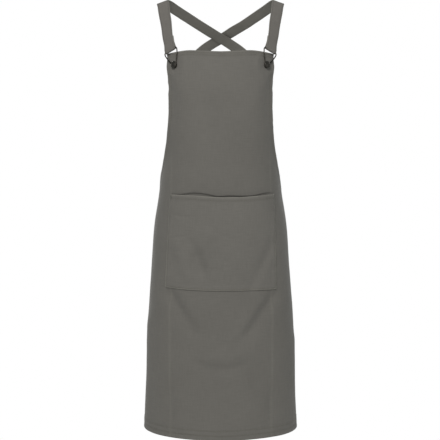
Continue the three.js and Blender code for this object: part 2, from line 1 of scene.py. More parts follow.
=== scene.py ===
# %% [markdown]
# # A cross back apron
# This apron is cut from one piece of grey cotton canvas: a bib, two wings that reach round to the back,
# and a skirt. A wide patch pocket sits on its front. Two straps go over the shoulders, cross behind the
# neck and end on the wings. Each strap is folded round the bar of a wire buckle that hooks over a button.
#
# Cloth like this could be simulated, but a worn apron mostly keeps the form of what it hangs on, and its
# seams and creases have to stay where they are. So every piece of cloth here is a grid of points that
# knows its place in the flat cut, and a few functions say where that place hangs.

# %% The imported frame
import math

import bmesh
import bpy
import numpy as np
from mathutils import Matrix, Vector
from mathutils.kdtree import KDTree


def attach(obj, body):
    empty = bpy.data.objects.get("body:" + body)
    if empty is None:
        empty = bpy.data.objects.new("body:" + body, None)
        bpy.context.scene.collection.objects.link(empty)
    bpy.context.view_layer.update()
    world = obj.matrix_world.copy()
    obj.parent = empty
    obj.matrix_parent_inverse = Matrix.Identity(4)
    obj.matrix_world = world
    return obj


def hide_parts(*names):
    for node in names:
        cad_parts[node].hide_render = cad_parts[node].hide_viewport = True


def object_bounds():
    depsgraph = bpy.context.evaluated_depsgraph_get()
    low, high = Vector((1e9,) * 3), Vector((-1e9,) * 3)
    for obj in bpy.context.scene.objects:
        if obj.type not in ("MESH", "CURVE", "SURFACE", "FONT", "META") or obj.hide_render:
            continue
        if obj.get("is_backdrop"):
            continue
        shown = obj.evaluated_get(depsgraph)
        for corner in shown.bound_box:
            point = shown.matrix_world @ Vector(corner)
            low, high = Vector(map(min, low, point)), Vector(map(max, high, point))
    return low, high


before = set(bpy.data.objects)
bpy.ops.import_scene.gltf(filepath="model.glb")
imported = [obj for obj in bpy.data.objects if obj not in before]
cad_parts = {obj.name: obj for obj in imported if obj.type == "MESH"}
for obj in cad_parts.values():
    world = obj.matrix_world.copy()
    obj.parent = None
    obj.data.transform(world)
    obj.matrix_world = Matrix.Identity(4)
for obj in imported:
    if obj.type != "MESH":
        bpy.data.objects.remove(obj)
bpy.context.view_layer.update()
MM = 0.001
print("nodes:", ", ".join(sorted(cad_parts)))

# %% [markdown]
# ## Camera, light and floor
# The photograph was taken from straight in front and a little above the middle, from about two and a
# half metres away. The focal length is known in pixels of the 440 pixel square picture, and the lens
# follows from the width of the sensor.

# %% Camera
PHOTO_PIXELS = 440
FOCAL_PIXELS = 1092
CAMERA_TILT = 5.28

camera_data = bpy.data.cameras.new("camera")
camera_data.sensor_width = 36
camera_data.lens = camera_data.sensor_width * FOCAL_PIXELS / PHOTO_PIXELS
camera = bpy.data.objects.new("camera", camera_data)
camera.location = (-0.00115, -2.510, -0.263)
camera.rotation_euler = (math.radians(90 - CAMERA_TILT), 0, 0)
bpy.context.collection.objects.link(camera)
bpy.context.scene.camera = camera
print("lens:", round(camera_data.lens, 2), "mm")

# %% [markdown]
# Product photographs are lit from all round on white. The world gives that even light, at less than half
# of the white that it shows behind the apron, so that it doesn't flatten the folds. A large soft light
# from above and a little left shapes the cloth, a lower one reaches the straps behind the neck, a faint
# one fills the right side, and two more stand behind, so that the back and the inside can be looked at.

# %% Light
# name, place, size, watts, colour
LIGHTS = [
    ("key", (-0.45, -2.3, 1.4), 1.0, 60, (1.0, 0.975, 0.955)),
    ("low fill", (0.1, -2.5, -0.5), 1.2, 10, (1.0, 0.98, 0.97)),
    ("side fill", (2.2, -1.4, 0.4), 1.4, 3, (1.0, 1.0, 1.0)),
    ("back left", (-1.2, 2.8, 1.0), 1.6, 62, (1.0, 0.99, 0.98)),
    ("back right", (1.3, 2.6, 0.6), 1.6, 48, (1.0, 0.99, 0.98)),
]
LOOKED_AT = Vector((0.0, 0.0, -0.45))
ROOM_LIGHT = 0.4
ROOM_COLOUR = (0.955, 1.0, 0.98)

world = bpy.data.worlds.new("studio")
bpy.context.scene.world = world
world.use_nodes = True
backdrop = world.node_tree.nodes["Background"]
seen = world.node_tree.nodes.new("ShaderNodeLightPath").outputs["Is Camera Ray"]
shown = world.node_tree.nodes.new("ShaderNodeMix")
shown.data_type = "RGBA"
shown.inputs[6].default_value = (*[ROOM_LIGHT * part for part in ROOM_COLOUR], 1.0)
shown.inputs[7].default_value = (1.0, 1.0, 1.0, 1.0)
world.node_tree.links.new(seen, shown.inputs[0])
world.node_tree.links.new(shown.outputs[2], backdrop.inputs["Color"])
bpy.context.scene.view_settings.view_transform = "Standard"

for name, place, size, watts, colour in LIGHTS:
    light_data = bpy.data.lights.new(name, "AREA")
    light_data.size = size
    light_data.energy = watts
    light_data.color = colour
    light = bpy.data.objects.new(name, light_data)
    light.location = place
    light.rotation_euler = (LOOKED_AT - light.location).to_track_quat("-Z", "Y").to_euler()
    bpy.context.collection.objects.link(light)
print("lights:", len(LIGHTS))

# %% [markdown]
# ## Materials
# One function turns the hex colours to the linear values that the shader needs, and one adds a node.

# %% Helpers for materials
def linear(hex_colour):
    parts = [int(hex_colour[at:at + 2], 16) / 255 for at in (1, 3, 5)]
    return tuple(p / 12.92 if p <= 0.04045 else ((p + 0.055) / 1.055) ** 2.4 for p in parts) + (1.0,)


def add_node(tree, kind, inputs=None, **settings):
    node = tree.nodes.new(kind)
    for name, value in settings.items():
        setattr(node, name, value)
    for name, value in (inputs or {}).items():
        if isinstance(value, bpy.types.NodeSocket):
            tree.links.new(value, node.inputs[name])
        else:
            node.inputs[name].default_value = value
    return node


# %% [markdown]
# The canvas is a plain woven cotton of about 300 grams a square metre, dyed grey. Its threads lie about
# half a millimetre apart, too fine to show here, so the weave is drawn at twice that. Thicker threads,
# called slubs, run along both ways of the cloth and mottle its colour a little. Each cloth carries its
# place in the flat cut as a UV map in metres, so that the weave follows the folds. Two attributes change
# its colour: one darkens it along the grooves that the stitching pulls in, as painted shade, and one
# makes it paler, as a painted highlight along a pressed crease, as painted light on the inner side of a
# strap, and along the edges.

# %% Canvas
THREAD_SPACING = 1.1
SLUB_LENGTH = 26.0
SLUB_WIDTH = 2.2
MOTTLE_SIZE = 90.0
WAVE_PERIOD = math.pi / 10  # the length at which a wave texture of scale 1 repeats


def canvas(name, colour, groove_shade_colour, paler_and_lit_colour):
    material = bpy.data.materials.new(name)
    material.use_nodes = True
    tree = material.node_tree
    shader = tree.nodes["Principled BSDF"]
    shader.inputs["Roughness"].default_value = 0.92
    shader.inputs["Specular IOR Level"].default_value = 0.2
    shader.inputs["Sheen Weight"].default_value = 0.12
    shader.inputs["Sheen Roughness"].default_value = 0.5
    place = add_node(tree, "ShaderNodeUVMap", uv_map="flat").outputs["UV"]
    weave = []
    slubs = []
    for direction, wide, tall in (("X", SLUB_WIDTH, SLUB_LENGTH), ("Y", SLUB_LENGTH, SLUB_WIDTH)):
        weave.append(add_node(
            tree, "ShaderNodeTexWave",
            {"Vector": place, "Scale": WAVE_PERIOD / (THREAD_SPACING * MM), "Distortion": 0.6, "Detail": 1.0},
            bands_direction=direction,
        ).outputs["Fac"])
        along = add_node(
            tree, "ShaderNodeVectorMath",
            {0: place, 1: (1 / (wide * MM), 1 / (tall * MM), 1.0)}, operation="MULTIPLY",
        ).outputs["Vector"]
        slubs.append(add_node(
            tree, "ShaderNodeTexNoise", {"Vector": along, "Scale": 1.0, "Detail": 2.0}, noise_dimensions="2D",
        ).outputs["Fac"])
    woven = add_node(tree, "ShaderNodeMath", {0: weave[0], 1: weave[1]}, operation="MULTIPLY").outputs[0]
    slub = add_node(tree, "ShaderNodeMath", {0: slubs[0], 1: slubs[1]}, operation="ADD").outputs[0]
    mottle = add_node(
        tree, "ShaderNodeTexNoise", {"Vector": place, "Scale": 1 / (MOTTLE_SIZE * MM), "Detail": 3.0},
        noise_dimensions="2D",
    ).outputs["Fac"]
    patchy = add_node(tree, "ShaderNodeMath", {0: slub, 1: mottle}, operation="ADD").outputs[0]
    tone = add_node(
        tree, "ShaderNodeMapRange",
        {"Value": patchy, "From Min": 1.0, "From Max": 2.0, "To Min": 0.93, "To Max": 1.07},
    ).outputs["Result"]
    # painted shade: the canvas is darker along the grooves of its stitching
    seam = add_node(tree, "ShaderNodeAttribute", attribute_name="seam").outputs["Fac"]
    # painted highlight along the creases and painted light on the straps' inner side; the edges are paler too
    worn = add_node(tree, "ShaderNodeAttribute", attribute_name="worn").outputs["Fac"]
    dyed_and_shaded = add_node(
        tree, "ShaderNodeMix", {0: seam, 6: linear(colour), 7: linear(groove_shade_colour)}, data_type="RGBA",
    ).outputs[2]
    paled_and_lit = add_node(
        tree, "ShaderNodeMix", {0: worn, 6: dyed_and_shaded, 7: linear(paler_and_lit_colour)}, data_type="RGBA",
    ).outputs[2]
    shaded = add_node(
        tree, "ShaderNodeVectorMath", {0: paled_and_lit, "Scale": tone}, operation="SCALE",
    ).outputs["Vector"]
    tree.links.new(shaded, shader.inputs["Base Color"])
    rough = add_node(tree, "ShaderNodeMath", {0: slub, 1: 0.6}, operation="MULTIPLY").outputs[0]
    height = add_node(tree, "ShaderNodeMath", {0: woven, 1: rough}, operation="ADD").outputs[0]
    bump = add_node(tree, "ShaderNodeBump", {"Height": height, "Strength": 0.4, "Distance": 0.25 * MM})
    tree.links.new(bump.outputs["Normal"], shader.inputs["Normal"])
    return material


# each canvas has its dye, a darker colour painted as shade in the stitching grooves, and a paler colour for
# painted highlight, painted light and the edges
panel_canvas = canvas("dyed cotton canvas", "#5f5d59", "#575550", "#74726b")
pocket_canvas = canvas("dyed cotton canvas, pocket", "#615f5b", "#595752", "#76746d")
strap_canvas = canvas("dyed cotton canvas, folded", "#63605c", "#555350", "#706e68")
print("canvas:", panel_canvas.name, "-", len(panel_canvas.node_tree.nodes), "nodes")

# %% [markdown]
# The sewing thread is core-spun, polyester wrapped in cotton. It is smoother than the cloth, so it
# catches a little more light, and it is dyed to match.

# %% Thread
def plain_finish(name, colour, roughness, metallic=0.0):
    material = bpy.data.materials.new(name)
    material.use_nodes = True
    shader = material.node_tree.nodes["Principled BSDF"]
    shader.inputs["Base Color"].default_value = linear(colour)
    shader.inputs["Roughness"].default_value = roughness
    shader.inputs["Metallic"].default_value = metallic
    return material


thread = plain_finish("core-spun sewing thread", "#696761", 0.7)
fibre = add_node(
    thread.node_tree, "ShaderNodeTexNoise",
    {"Vector": add_node(thread.node_tree, "ShaderNodeTexCoord").outputs["Object"], "Scale": 900.0},
)
ply = add_node(
    thread.node_tree, "ShaderNodeBump",
    {"Height": fibre.outputs["Fac"], "Strength": 0.4, "Distance": 0.1 * MM},
)
thread.node_tree.links.new(ply.outputs["Normal"], thread.node_tree.nodes["Principled BSDF"].inputs["Normal"])
print("thread:", thread.name)

# %% [markdown]
# The wire is steel plated in dark gunmetal, and the buttons are plated in antique nickel, a little paler.
# Barrel plating leaves both satin rather than bright, cloudy over a few millimetres, and rubbed a little
# shinier in places.

# %% Gunmetal
PLATING_GRAIN = 0.4


def gunmetal(name, colour, cloud_colour, cloud_size):
    material = plain_finish(name, colour, 0.36, 1.0)
    tree = material.node_tree
    shader = tree.nodes["Principled BSDF"]
    place = add_node(tree, "ShaderNodeTexCoord").outputs["Object"]
    cloud, grain = (
        add_node(tree, "ShaderNodeTexNoise", {"Vector": place, "Scale": 1 / (size * MM), "Detail": detail})
        for size, detail in ((cloud_size, 4.0), (PLATING_GRAIN, 2.0))
    )
    satin = add_node(
        tree, "ShaderNodeMapRange",
        {"Value": cloud.outputs["Fac"], "From Min": 0.3, "From Max": 0.7, "To Min": 0.26, "To Max": 0.46},
    )
    plated = add_node(
        tree, "ShaderNodeMix",
        {0: cloud.outputs["Fac"], 6: linear(colour), 7: linear(cloud_colour)}, data_type="RGBA",
    )
    bump = add_node(
        tree, "ShaderNodeBump", {"Height": grain.outputs["Fac"], "Strength": 0.25, "Distance": 0.05 * MM},
    )
    tree.links.new(satin.outputs["Result"], shader.inputs["Roughness"])
    tree.links.new(plated.outputs[2], shader.inputs["Base Color"])
    tree.links.new(bump.outputs["Normal"], shader.inputs["Normal"])
    return material


wire_metal = gunmetal("gunmetal plated wire", "#2a2825", "#45423e", 3.0)
button_metal = gunmetal("antique nickel plated tack button", "#33312e", "#5c5954", 2.0)
print("metals:", wire_metal.name, "and", button_metal.name)

# %% [markdown]
# ## The form that the cloth hangs on
# The panel goes round a body like a tall barrel. Eleven level sections describe it, each a superellipse:
# an oval whose exponent makes it boxier or rounder. The values between rows follow a smooth curve. All
# lengths here are in millimetres, with the shoulders at height 0.

# %% Sizes of the panel and the body
BIB_TO_HEM = 862
BIB_WIDTH = 258
ARMHOLE_STRAIGHT = 104
ARMHOLE_DEPTH = 329
ARMHOLE_SQUARENESS = 2.5
WING_WIDTH = 640
WING_FALL = 1.5
WING_LEVEL_SHARE = 0.25
HEM_WIDTH = 690
CLOTH = 1.2
TOP = -116
HEM = TOP - BIB_TO_HEM
BODY_HALF_WIDTH = 178
BODY_FRONT_DEPTH = 116
BODY_BACK_DEPTH = 106
BODY_FORWARD = 15

# down, width, front, back, exponent
BODY_SECTIONS = np.array([
    (0.0, 0.725, 0.7, 0.84, 2.3),
    (0.035, 0.74, 0.825, 0.86, 2.3),
    (0.08, 0.745, 0.925, 0.87, 2.3),
    (0.16, 0.74, 0.965, 0.86, 2.3),
    (0.26, 0.74, 0.93, 0.84, 2.35),
    (0.36, 0.777, 0.905, 0.84, 2.35),
    (0.44, 0.837, 0.92, 0.9, 2.4),
    (0.55, 0.88, 0.955, 0.97, 2.45),
    (0.7, 0.931, 0.98, 1.0, 2.5),
    (0.85, 0.95, 0.99, 1.0, 2.4),
    (1.0, 0.99, 1.02, 1.0, 2.1),
])


def walked_along(path):
    """Distances along a path from its start to each of its points."""
    return np.concatenate([[0], np.cumsum(np.linalg.norm(np.diff(path, axis=0), axis=-1))])


def found_along(path, walked, at):
    """Places at the given distances along a path."""
    return np.stack([np.interp(at, walked, path[:, axis]) for axis in range(path.shape[1])], axis=-1)


def through(rows, at):
    """Values at the given places, on smooth curves through rows that start with their place."""
    places, values = rows[:, 0], rows[:, 1:]
    last = len(places) - 1
    at = np.clip(np.asarray(at, float), places[0], places[-1])
    low = np.clip(np.searchsorted(places, at, side="right") - 1, 0, last - 1)
    before = np.where(low > 0, low - 1, low + 1)
    after = np.where(low < last - 1, low + 2, low)
    step = places[low + 1] - places[low]
    lead = 0.5 * step / (places[low] - places[before])
    trail = 0.5 * step / (places[after] - places[low + 1])
    p = (at - places[low]) / step
    weights = (
        (before, -lead * p**3 + 2 * lead * p**2 - lead * p),
        (low, (1 + lead) * p**3 - (1.5 + 2 * lead) * p**2 + (lead - 0.5) * p + 1),
        (low + 1, -(1 + trail) * p**3 + (1.5 + trail) * p**2 + 0.5 * p),
        (after, trail * p**3 - trail * p**2),
    )
    return sum(values[index] * weight[..., None] for index, weight in weights)


print("waist:", np.round(through(BODY_SECTIONS, 0.3), 3))

# %% [markdown]
# Cloth doesn't stretch, so a point 200 mm along the flat cut is 200 mm along the surface. For every few
# millimetres of height the section is walked once and the places reached are kept. Any point of the
# cloth is then read from that table.

# %% Laying flat cloth round the body
DROP_STEP = 3.0
REACH_STEP = 2.0
LAID_FROM = TOP + 12
LAID_TO = HEM - 20
LONGEST_REACH = 400
drops = np.arange(LAID_FROM, LAID_TO, -DROP_STEP)
reaches = np.arange(0, LONGEST_REACH, REACH_STEP)
laid = np.zeros((len(drops), len(reaches), 2))
for index, (width, front, back, exponent) in enumerate(through(BODY_SECTIONS, (TOP - drops) / BIB_TO_HEM)):
    turn = np.linspace(0, math.pi, 361)
    depth = np.where(turn < math.pi / 2, -front * BODY_FRONT_DEPTH, back * BODY_BACK_DEPTH)
    x = width * BODY_HALF_WIDTH * np.abs(np.sin(turn)) ** (2 / exponent)
    y = depth * np.abs(np.cos(turn)) ** (2 / exponent)
    section = np.stack([x, y], axis=-1)
    laid[index] = found_along(section, walked_along(section), reaches) - (0, BODY_FORWARD)


def body_point(s, z):
    """Points of the plain form for places s across and z up in the flat cut."""
    s, z = np.broadcast_arrays(np.asarray(s, float), np.asarray(z, float))
    column = np.clip(np.abs(s) / REACH_STEP, 0, len(reaches) - 1.001)
    row = np.clip((LAID_FROM - z) / DROP_STEP, 0, len(drops) - 1.001)
    c, r = column.astype(int), row.astype(int)
    right, under = (column - c)[..., None], (row - r)[..., None]
    above = laid[r, c] * (1 - right) + laid[r, c + 1] * right
    below = laid[r + 1, c] * (1 - right) + laid[r + 1, c + 1] * right
    xy = above * (1 - under) + below * under
    return np.stack([np.sign(s) * xy[..., 0], xy[..., 1], z], axis=-1)


def outward(surface, s, z, step=4.0):
    """The direction square to a surface, away from the body."""
    across = surface(s + step, z) - surface(s - step, z)
    down = surface(s, z - step) - surface(s, z + step)
    normal = np.cross(down, across)
    return normal / np.linalg.norm(normal, axis=-1, keepdims=True)


print("laid:", laid.shape[0], "heights by", laid.shape[1], "reaches")

# %% [markdown]
# ## Folds
# The larger folds are the ones that the solid model has too. Each is a line in the flat cut, along which
# the cloth is raised or sunk. The smaller ones only matter to the eye: the drags below the pocket's
# corners, the slack in the pocket, and the dents above the hem. Soft random swells are added everywhere,
# because no worn cloth is quite smooth.

# %% Fold lines
FOLD_HEIGHT = 6

# from across, from down, to across, to down, reach, rise
LARGE_FOLDS = [
    (-0.34, 0.62, -0.1, 0.73, 0.02, -0.55),
    (0.36, 0.63, 0.13, 0.74, 0.02, -0.55),
    (-0.12, 0.81, 0.12, 0.81, 0.018, -0.4),
    (-0.33, 0.1, -0.32, 0.16, 0.02, -0.4),
    (0.33, 0.1, 0.32, 0.16, 0.02, -0.4),
    (-0.57, 0.72, -0.6, 1.05, 0.03, 0.6),
    (0.57, 0.76, 0.6, 1.05, 0.03, 0.6),
    (-0.83, 0.6, -0.84, 1.05, 0.032, -1.1),
    (0.82, 0.64, 0.85, 1.05, 0.032, -1.1),
    (-0.95, 0.55, -0.97, 1.05, 0.03, 1.2),
    (0.95, 0.55, 0.97, 1.05, 0.03, 1.2),
]
SMALL_FOLDS = [
    (-0.19, 0.49, -0.12, 0.55, 0.016, -0.55),
    (-0.15, 0.525, -0.13, 0.555, 0.02, -0.6),
    (-0.3, 0.49, -0.2, 0.57, 0.018, 0.4),
    (-0.08, 0.47, -0.04, 0.56, 0.022, 0.35),
    (0.34, 0.49, 0.2, 0.6, 0.014, -0.38),
    (0.33, 0.53, 0.24, 0.6, 0.011, 0.2),
    (-0.05, 0.4, 0.1, 0.56, 0.02, 0.15),
    (-0.32, 0.415, -0.2, 0.42, 0.004, -0.1),
    (-0.33, 0.475, -0.22, 0.468, 0.004, -0.1),
    (-0.34, 0.505, -0.24, 0.51, 0.004, -0.08),
    (-0.33, 0.62, -0.18, 0.715, 0.014, -0.75),
    (-0.24, 0.62, -0.06, 0.74, 0.014, 0.2),
    (0.34, 0.63, 0.18, 0.72, 0.014, -0.58),
    (0.26, 0.63, 0.07, 0.75, 0.014, 0.2),
    (-0.14, 0.796, -0.08, 0.808, 0.012, -0.36),
    (-0.03, 0.815, 0.05, 0.815, 0.012, -0.4),
    (0.1, 0.808, 0.15, 0.798, 0.012, -0.32),
    (0.0, 0.75, 0.1, 0.752, 0.018, -0.2),
    (-0.06, 0.785, 0.07, 0.785, 0.016, 0.3),
    (-0.06, 0.62, -0.05, 0.72, 0.014, -0.14),
    (0.14, 0.62, 0.12, 0.7, 0.012, -0.12),
    (-0.3, 0.625, 0.3, 0.628, 0.004, -0.1),
    (-0.35, 0.88, -0.34, 0.94, 0.016, -0.45),
    (0.35, 0.88, 0.34, 0.94, 0.016, -0.45),
    (-0.33, 0.05, -0.36, 0.09, 0.012, -0.35),
    (0.33, 0.05, 0.36, 0.09, 0.012, -0.35),
    (-0.3, 0.08, -0.12, 0.16, 0.018, 0.14),
    (0.3, 0.08, 0.12, 0.17, 0.018, 0.14),
]


def bell(away, reach):
    """One at no distance, falling smoothly to almost nothing at twice the reach."""
    return np.exp(-((away / reach) ** 2))


def fold_height(folds, s, z):
    """How far the cloth is raised by folds that run along lines in the flat cut."""
    height = 0
    for across_a, down_a, across_b, down_b, reach, rise in folds:
        start = np.array([across_a * HEM_WIDTH / 2, TOP - down_a * BIB_TO_HEM])
        run = np.array([across_b * HEM_WIDTH / 2, TOP - down_b * BIB_TO_HEM]) - start
        here = np.stack(np.broadcast_arrays(s, z), axis=-1) - start
        share = np.clip(here @ run / (run @ run), 0, 1)
        away = np.linalg.norm(here - share[..., None] * run, axis=-1)
        height = height + rise * FOLD_HEIGHT * bell(away, reach * BIB_TO_HEM)
    return height


print("folds:", len(LARGE_FOLDS), "large,", len(SMALL_FOLDS), "small")

# %% Soft random swells
def swell(s, z, wide, tall, seed):
    """Smooth random heights between -1 and 1, on a grid of hills of the given size."""
    hills = np.random.default_rng(seed).uniform(-1, 1, (64, 64))
    column = np.asarray(s, float) / wide + 32
    row = np.asarray(z, float) / tall + 48
    c, r = np.floor(column).astype(int), np.floor(row).astype(int)
    right, over = column - c, row - r
    right, over = right * right * (3 - 2 * right), over * over * (3 - 2 * over)
    low = hills[r % 64, c % 64] * (1 - right) + hills[r % 64, (c + 1) % 64] * right
    high = hills[(r + 1) % 64, c % 64] * (1 - right) + hills[(r + 1) % 64, (c + 1) % 64] * right
    return low * (1 - over) + high * over


def swells(rows, s, z):
    return sum(rise * swell(s, z, wide, tall, seed) for wide, tall, rise, seed in rows)


# hill's width, its height, how far it rises, seed
CLOTH_SWELLS = [(86, 190, 1.3, 3), (34, 64, 0.55, 5), (15, 22, 0.2, 8)]
BIB_EDGE_SWELLS = [(math.inf, 9, 0.9, 51)]
HEM_SWELLS = [(7, 7, 0.28, 21), (16, 16, 0.25, 22)]
STRAP_SWELLS = [(12, 16, 0.35, 31), (math.inf, 40, 0.25, 41)]
print("swells:", len(CLOTH_SWELLS), "over all the cloth")

# %% [markdown]
# ## Where the buckles hang
# Each button stands near a top corner of the bib, and its buckle leans back towards the shoulder. A
# short frame of directions holds for each side: where the button sits, the way that the cloth faces
# there, the way that the buckle points, and the line of its bar.

# %% Sizes of the buckles and buttons
WIRE = 2.6
STRAP_WIDTH = 28
BUCKLE_PLAY = 0.5
BUCKLE_WIDTH = STRAP_WIDTH + 2 * WIRE + BUCKLE_PLAY
BUCKLE_LENGTH = 43
BUCKLE_REACH = 37
BUCKLE_TURN = 15
BUCKLE_LEAN = 4
BUTTON_INSET = 24.5
BUTTON_DROP = 29
BUTTON_DIAMETER = 15
BUTTON_HEAD = 3.2
BUTTON_POST = 4.6
BUTTON_FOOT = 9
BUTTON_FOOT_HEIGHT = 0.8
BUTTON_FLAT_RADIUS = 20
BUTTON_FREE_RADIUS = 32
CLEARANCE = 0.3
SIDES = {"left": -1, "right": 1}


def cloth_point(s, z):
    height = fold_height(LARGE_FOLDS, s, z)
    return body_point(s, z) + outward(body_point, s, z) * height[..., None]


def clasp(side):
    s, z = side * (BIB_WIDTH / 2 - BUTTON_INSET), TOP - BUTTON_DROP
    seat = Vector(cloth_point(s, z))
    normal = Vector(outward(cloth_point, s, z))
    down = (Vector(cloth_point(s, z - 1)) - seat).normalized()
    inwards = (Vector(cloth_point(s - side, z)) - seat).normalized()
    turn, lean = math.radians(BUCKLE_TURN), math.radians(BUCKLE_LEAN)
    along = (down * math.cos(turn) + inwards * math.sin(turn)).normalized()
    along = (along * math.cos(lean) - normal * math.sin(lean)).normalized()
    bar = normal.cross(along).normalized()
    rides = CLOTH / 2 + CLEARANCE + BUTTON_FOOT_HEIGHT + CLEARANCE + WIRE / 2
    return {
        "seat": seat,
        "normal": normal,
        "along": along,
        "bar": bar,
        "face": along.cross(bar).normalized(),
        "middle": seat + normal * rides - along * BUCKLE_REACH,
    }


clasps = {side: clasp(side) for side in SIDES.values()}
print("button seat:", [round(value, 1) for value in clasps[1]["seat"]])

# %% The cloth as it hangs
def smooth_share(low, high, value):
    share = np.clip((value - low) / (high - low), 0, 1)
    return share * share * (3 - 2 * share)


def pressed_flat(points):
    """Each button holds the cloth round it flat."""
    for held in clasps.values():
        seat, normal = np.array(held["seat"]), np.array(held["normal"])
        away = np.linalg.norm(points - seat, axis=-1)
        pressed = 1 - smooth_share(BUTTON_FLAT_RADIUS, BUTTON_FREE_RADIUS, away)
        points = points - (pressed * ((points - seat) @ normal))[..., None] * normal
    return points


def hung_point(s, z):
    return pressed_flat(cloth_point(s, z))


print("bib, just below its top:", np.round(hung_point(0.0, TOP - 20.0), 1))

# %% [markdown]
# ## The cut of the panel
# The flat cut is straight down the sides of the bib, sweeps out along the armholes to the wings, and
# then runs down the back edges to the hem. Its outline is kept as four paths, because each has a hem of
# its own. The two sides are mirror images, so each path is written for the right side.

# %% Outline of the flat cut
POCKET_DROP = 314
POCKET_HEIGHT = 210
POCKET_TOP_WIDTH = 244
POCKET_BOTTOM_WIDTH = 257
POCKET_TOP_SHIFT = 5
POCKET_BOTTOM_SHIFT = 1
POCKET_LIFT = 4.5
POCKET_LIFT_REACH = 60
POCKET_MARGIN = 8
HEM_RISE = 24
HEM_RISE_REACH = 130
OUTLINE_STEP = 2.0
POCKET_TOP = TOP - POCKET_DROP
POCKET_BOTTOM = POCKET_TOP - POCKET_HEIGHT
ARMHOLE_TOP = TOP - ARMHOLE_STRAIGHT
WING_TOP = TOP - ARMHOLE_DEPTH
WING_LEVEL = WING_TOP + (POCKET_BOTTOM - WING_TOP) * WING_LEVEL_SHARE

# across as a share of the bib's half width, rise as a share of FOLD_HEIGHT
TOP_EDGE = np.array([(0.0, 0.0), (0.3, 0.25), (0.55, 0.48), (0.75, 0.1), (1.0, -0.6)])
# across as a share of the hem's half width, rise as a share of HEM_RISE
HEM_EDGE = np.array([
    (0.0, 0.0), (0.2, 0.1), (0.35, 0.12), (0.5, 0.13), (0.58, 0.23), (0.65, 0.42), (0.75, 0.66), (1.0, 1.0),
])

sweep = np.linspace(0, math.pi / 2, 400)
armhole = np.stack([
    BIB_WIDTH / 2 + (WING_WIDTH - BIB_WIDTH) / 2 * (1 - np.cos(sweep) ** (2 / ARMHOLE_SQUARENESS)),
    ARMHOLE_TOP + (WING_TOP - ARMHOLE_TOP) * np.sin(sweep) ** (2 / ARMHOLE_SQUARENESS),
], axis=-1)


def spaced(path, step):
    """The same path with points a fixed step apart."""
    walked = walked_along(path)
    return found_along(path, walked, np.linspace(0, walked[-1], max(2, int(round(walked[-1] / step)) + 1)))


def top_rise(s):
    return through(TOP_EDGE, np.minimum(1, np.abs(s) / (BIB_WIDTH / 2)))[..., 0] * FOLD_HEIGHT


def hem_rise(away, level):
    fade = np.maximum(0, 1 - (level - HEM) / HEM_RISE_REACH)
    return through(HEM_EDGE, np.minimum(1, away / (HEM_WIDTH / 2)))[..., 0] * HEM_RISE * fade * fade


bib_half = BIB_WIDTH / 2
across_bib = np.linspace(-bib_half, bib_half, 200)
top_path = np.stack([across_bib, TOP + top_rise(across_bib)], axis=-1)
side_path = spaced(np.vstack([[(bib_half, TOP + top_rise(bib_half))], armhole]), OUTLINE_STEP)
back_path = spaced(np.array([(WING_WIDTH / 2, WING_TOP), (HEM_WIDTH / 2, HEM + HEM_RISE)]), OUTLINE_STEP)
across_hem = np.linspace(-HEM_WIDTH / 2, HEM_WIDTH / 2, 600)
hem_path = spaced(np.stack([across_hem, HEM + hem_rise(np.abs(across_hem), HEM)], axis=-1), OUTLINE_STEP)

# %% [markdown]
# ## A grid that fits the cut
# Blender's own grid gives the faces, and only its points are moved. Rows run from the top of the bib to
# the hem, and columns from edge to edge. Near every edge and behind the pocket's mouth they are packed
# closer, so that a hem's ridge and the groove of its stitching get points of their own.

# %% Rows and columns of the panel
ROWS_AT_TOP, ROWS_AT_MOUTH, ROWS_AT_HEM, ROWS = 11, 14, 15, 214
COLUMNS_AT_EDGE, COLUMNS = 12, 208
TOP_BAND, MOUTH_BAND, HEM_BAND, EDGE_BAND = 14, 7, 34, 15
# down from the top of the bib, reach, rise
BIB_EDGE_PUCKERS = [(32, 8, 1.6), (55, 6, -1.8)]
PUCKER_FALL = 6


def row_levels():
    plain = ROWS - ROWS_AT_TOP - ROWS_AT_MOUTH - ROWS_AT_HEM
    above = round(plain * (POCKET_DROP - TOP_BAND) / BIB_TO_HEM)
    top = np.linspace(TOP, TOP - TOP_BAND, ROWS_AT_TOP + 1)[:-1]
    bib = np.linspace(TOP - TOP_BAND, POCKET_TOP + MOUTH_BAND, above + 1)[:-1]
    mouth = np.linspace(POCKET_TOP + MOUTH_BAND, POCKET_TOP - MOUTH_BAND, ROWS_AT_MOUTH + 1)[:-1]
    skirt = np.linspace(POCKET_TOP - MOUTH_BAND, HEM + HEM_BAND, plain - above + 1)
    hem = np.linspace(HEM + HEM_BAND, HEM, ROWS_AT_HEM + 1)[1:]
    return np.concatenate([top, bib, mouth, skirt, hem])


def row_end(level):
    """Place in the flat cut where a row ends on the right side."""
    walked = walked_along(armhole)
    share = np.clip((ARMHOLE_TOP - level) / (ARMHOLE_TOP - WING_LEVEL), 0, 1)
    s, z = np.moveaxis(found_along(armhole, walked, share * walked[-1]), -1, 0)
    back = np.clip((WING_LEVEL - level) / (WING_LEVEL - HEM), 0, 1)
    s = np.where(level < WING_LEVEL, (WING_WIDTH + (HEM_WIDTH - WING_WIDTH) * back) / 2, s)
    z = np.where(level < WING_LEVEL, WING_TOP + (HEM - WING_TOP) * back, z)
    return np.where(level > ARMHOLE_TOP, bib_half, s), np.where(level > ARMHOLE_TOP, level, z)


def down_pocket(z):
    return np.clip((POCKET_TOP - z) / POCKET_HEIGHT, 0, 1)


def pocket_half(z):
    return (POCKET_TOP_WIDTH + (POCKET_BOTTOM_WIDTH - POCKET_TOP_WIDTH) * down_pocket(z)) / 2


def pocket_middle(z):
    return POCKET_TOP_SHIFT + (POCKET_BOTTOM_SHIFT - POCKET_TOP_SHIFT) * down_pocket(z)


def corner_lift(s, z):
    """How much higher a place on the pocket lies than straight across, most at its lower left corner."""
    share = np.clip(-2 * s / POCKET_BOTTOM_WIDTH, 0, 1)
    return POCKET_LIFT * share**2 * bell(z - POCKET_BOTTOM, POCKET_LIFT_REACH)


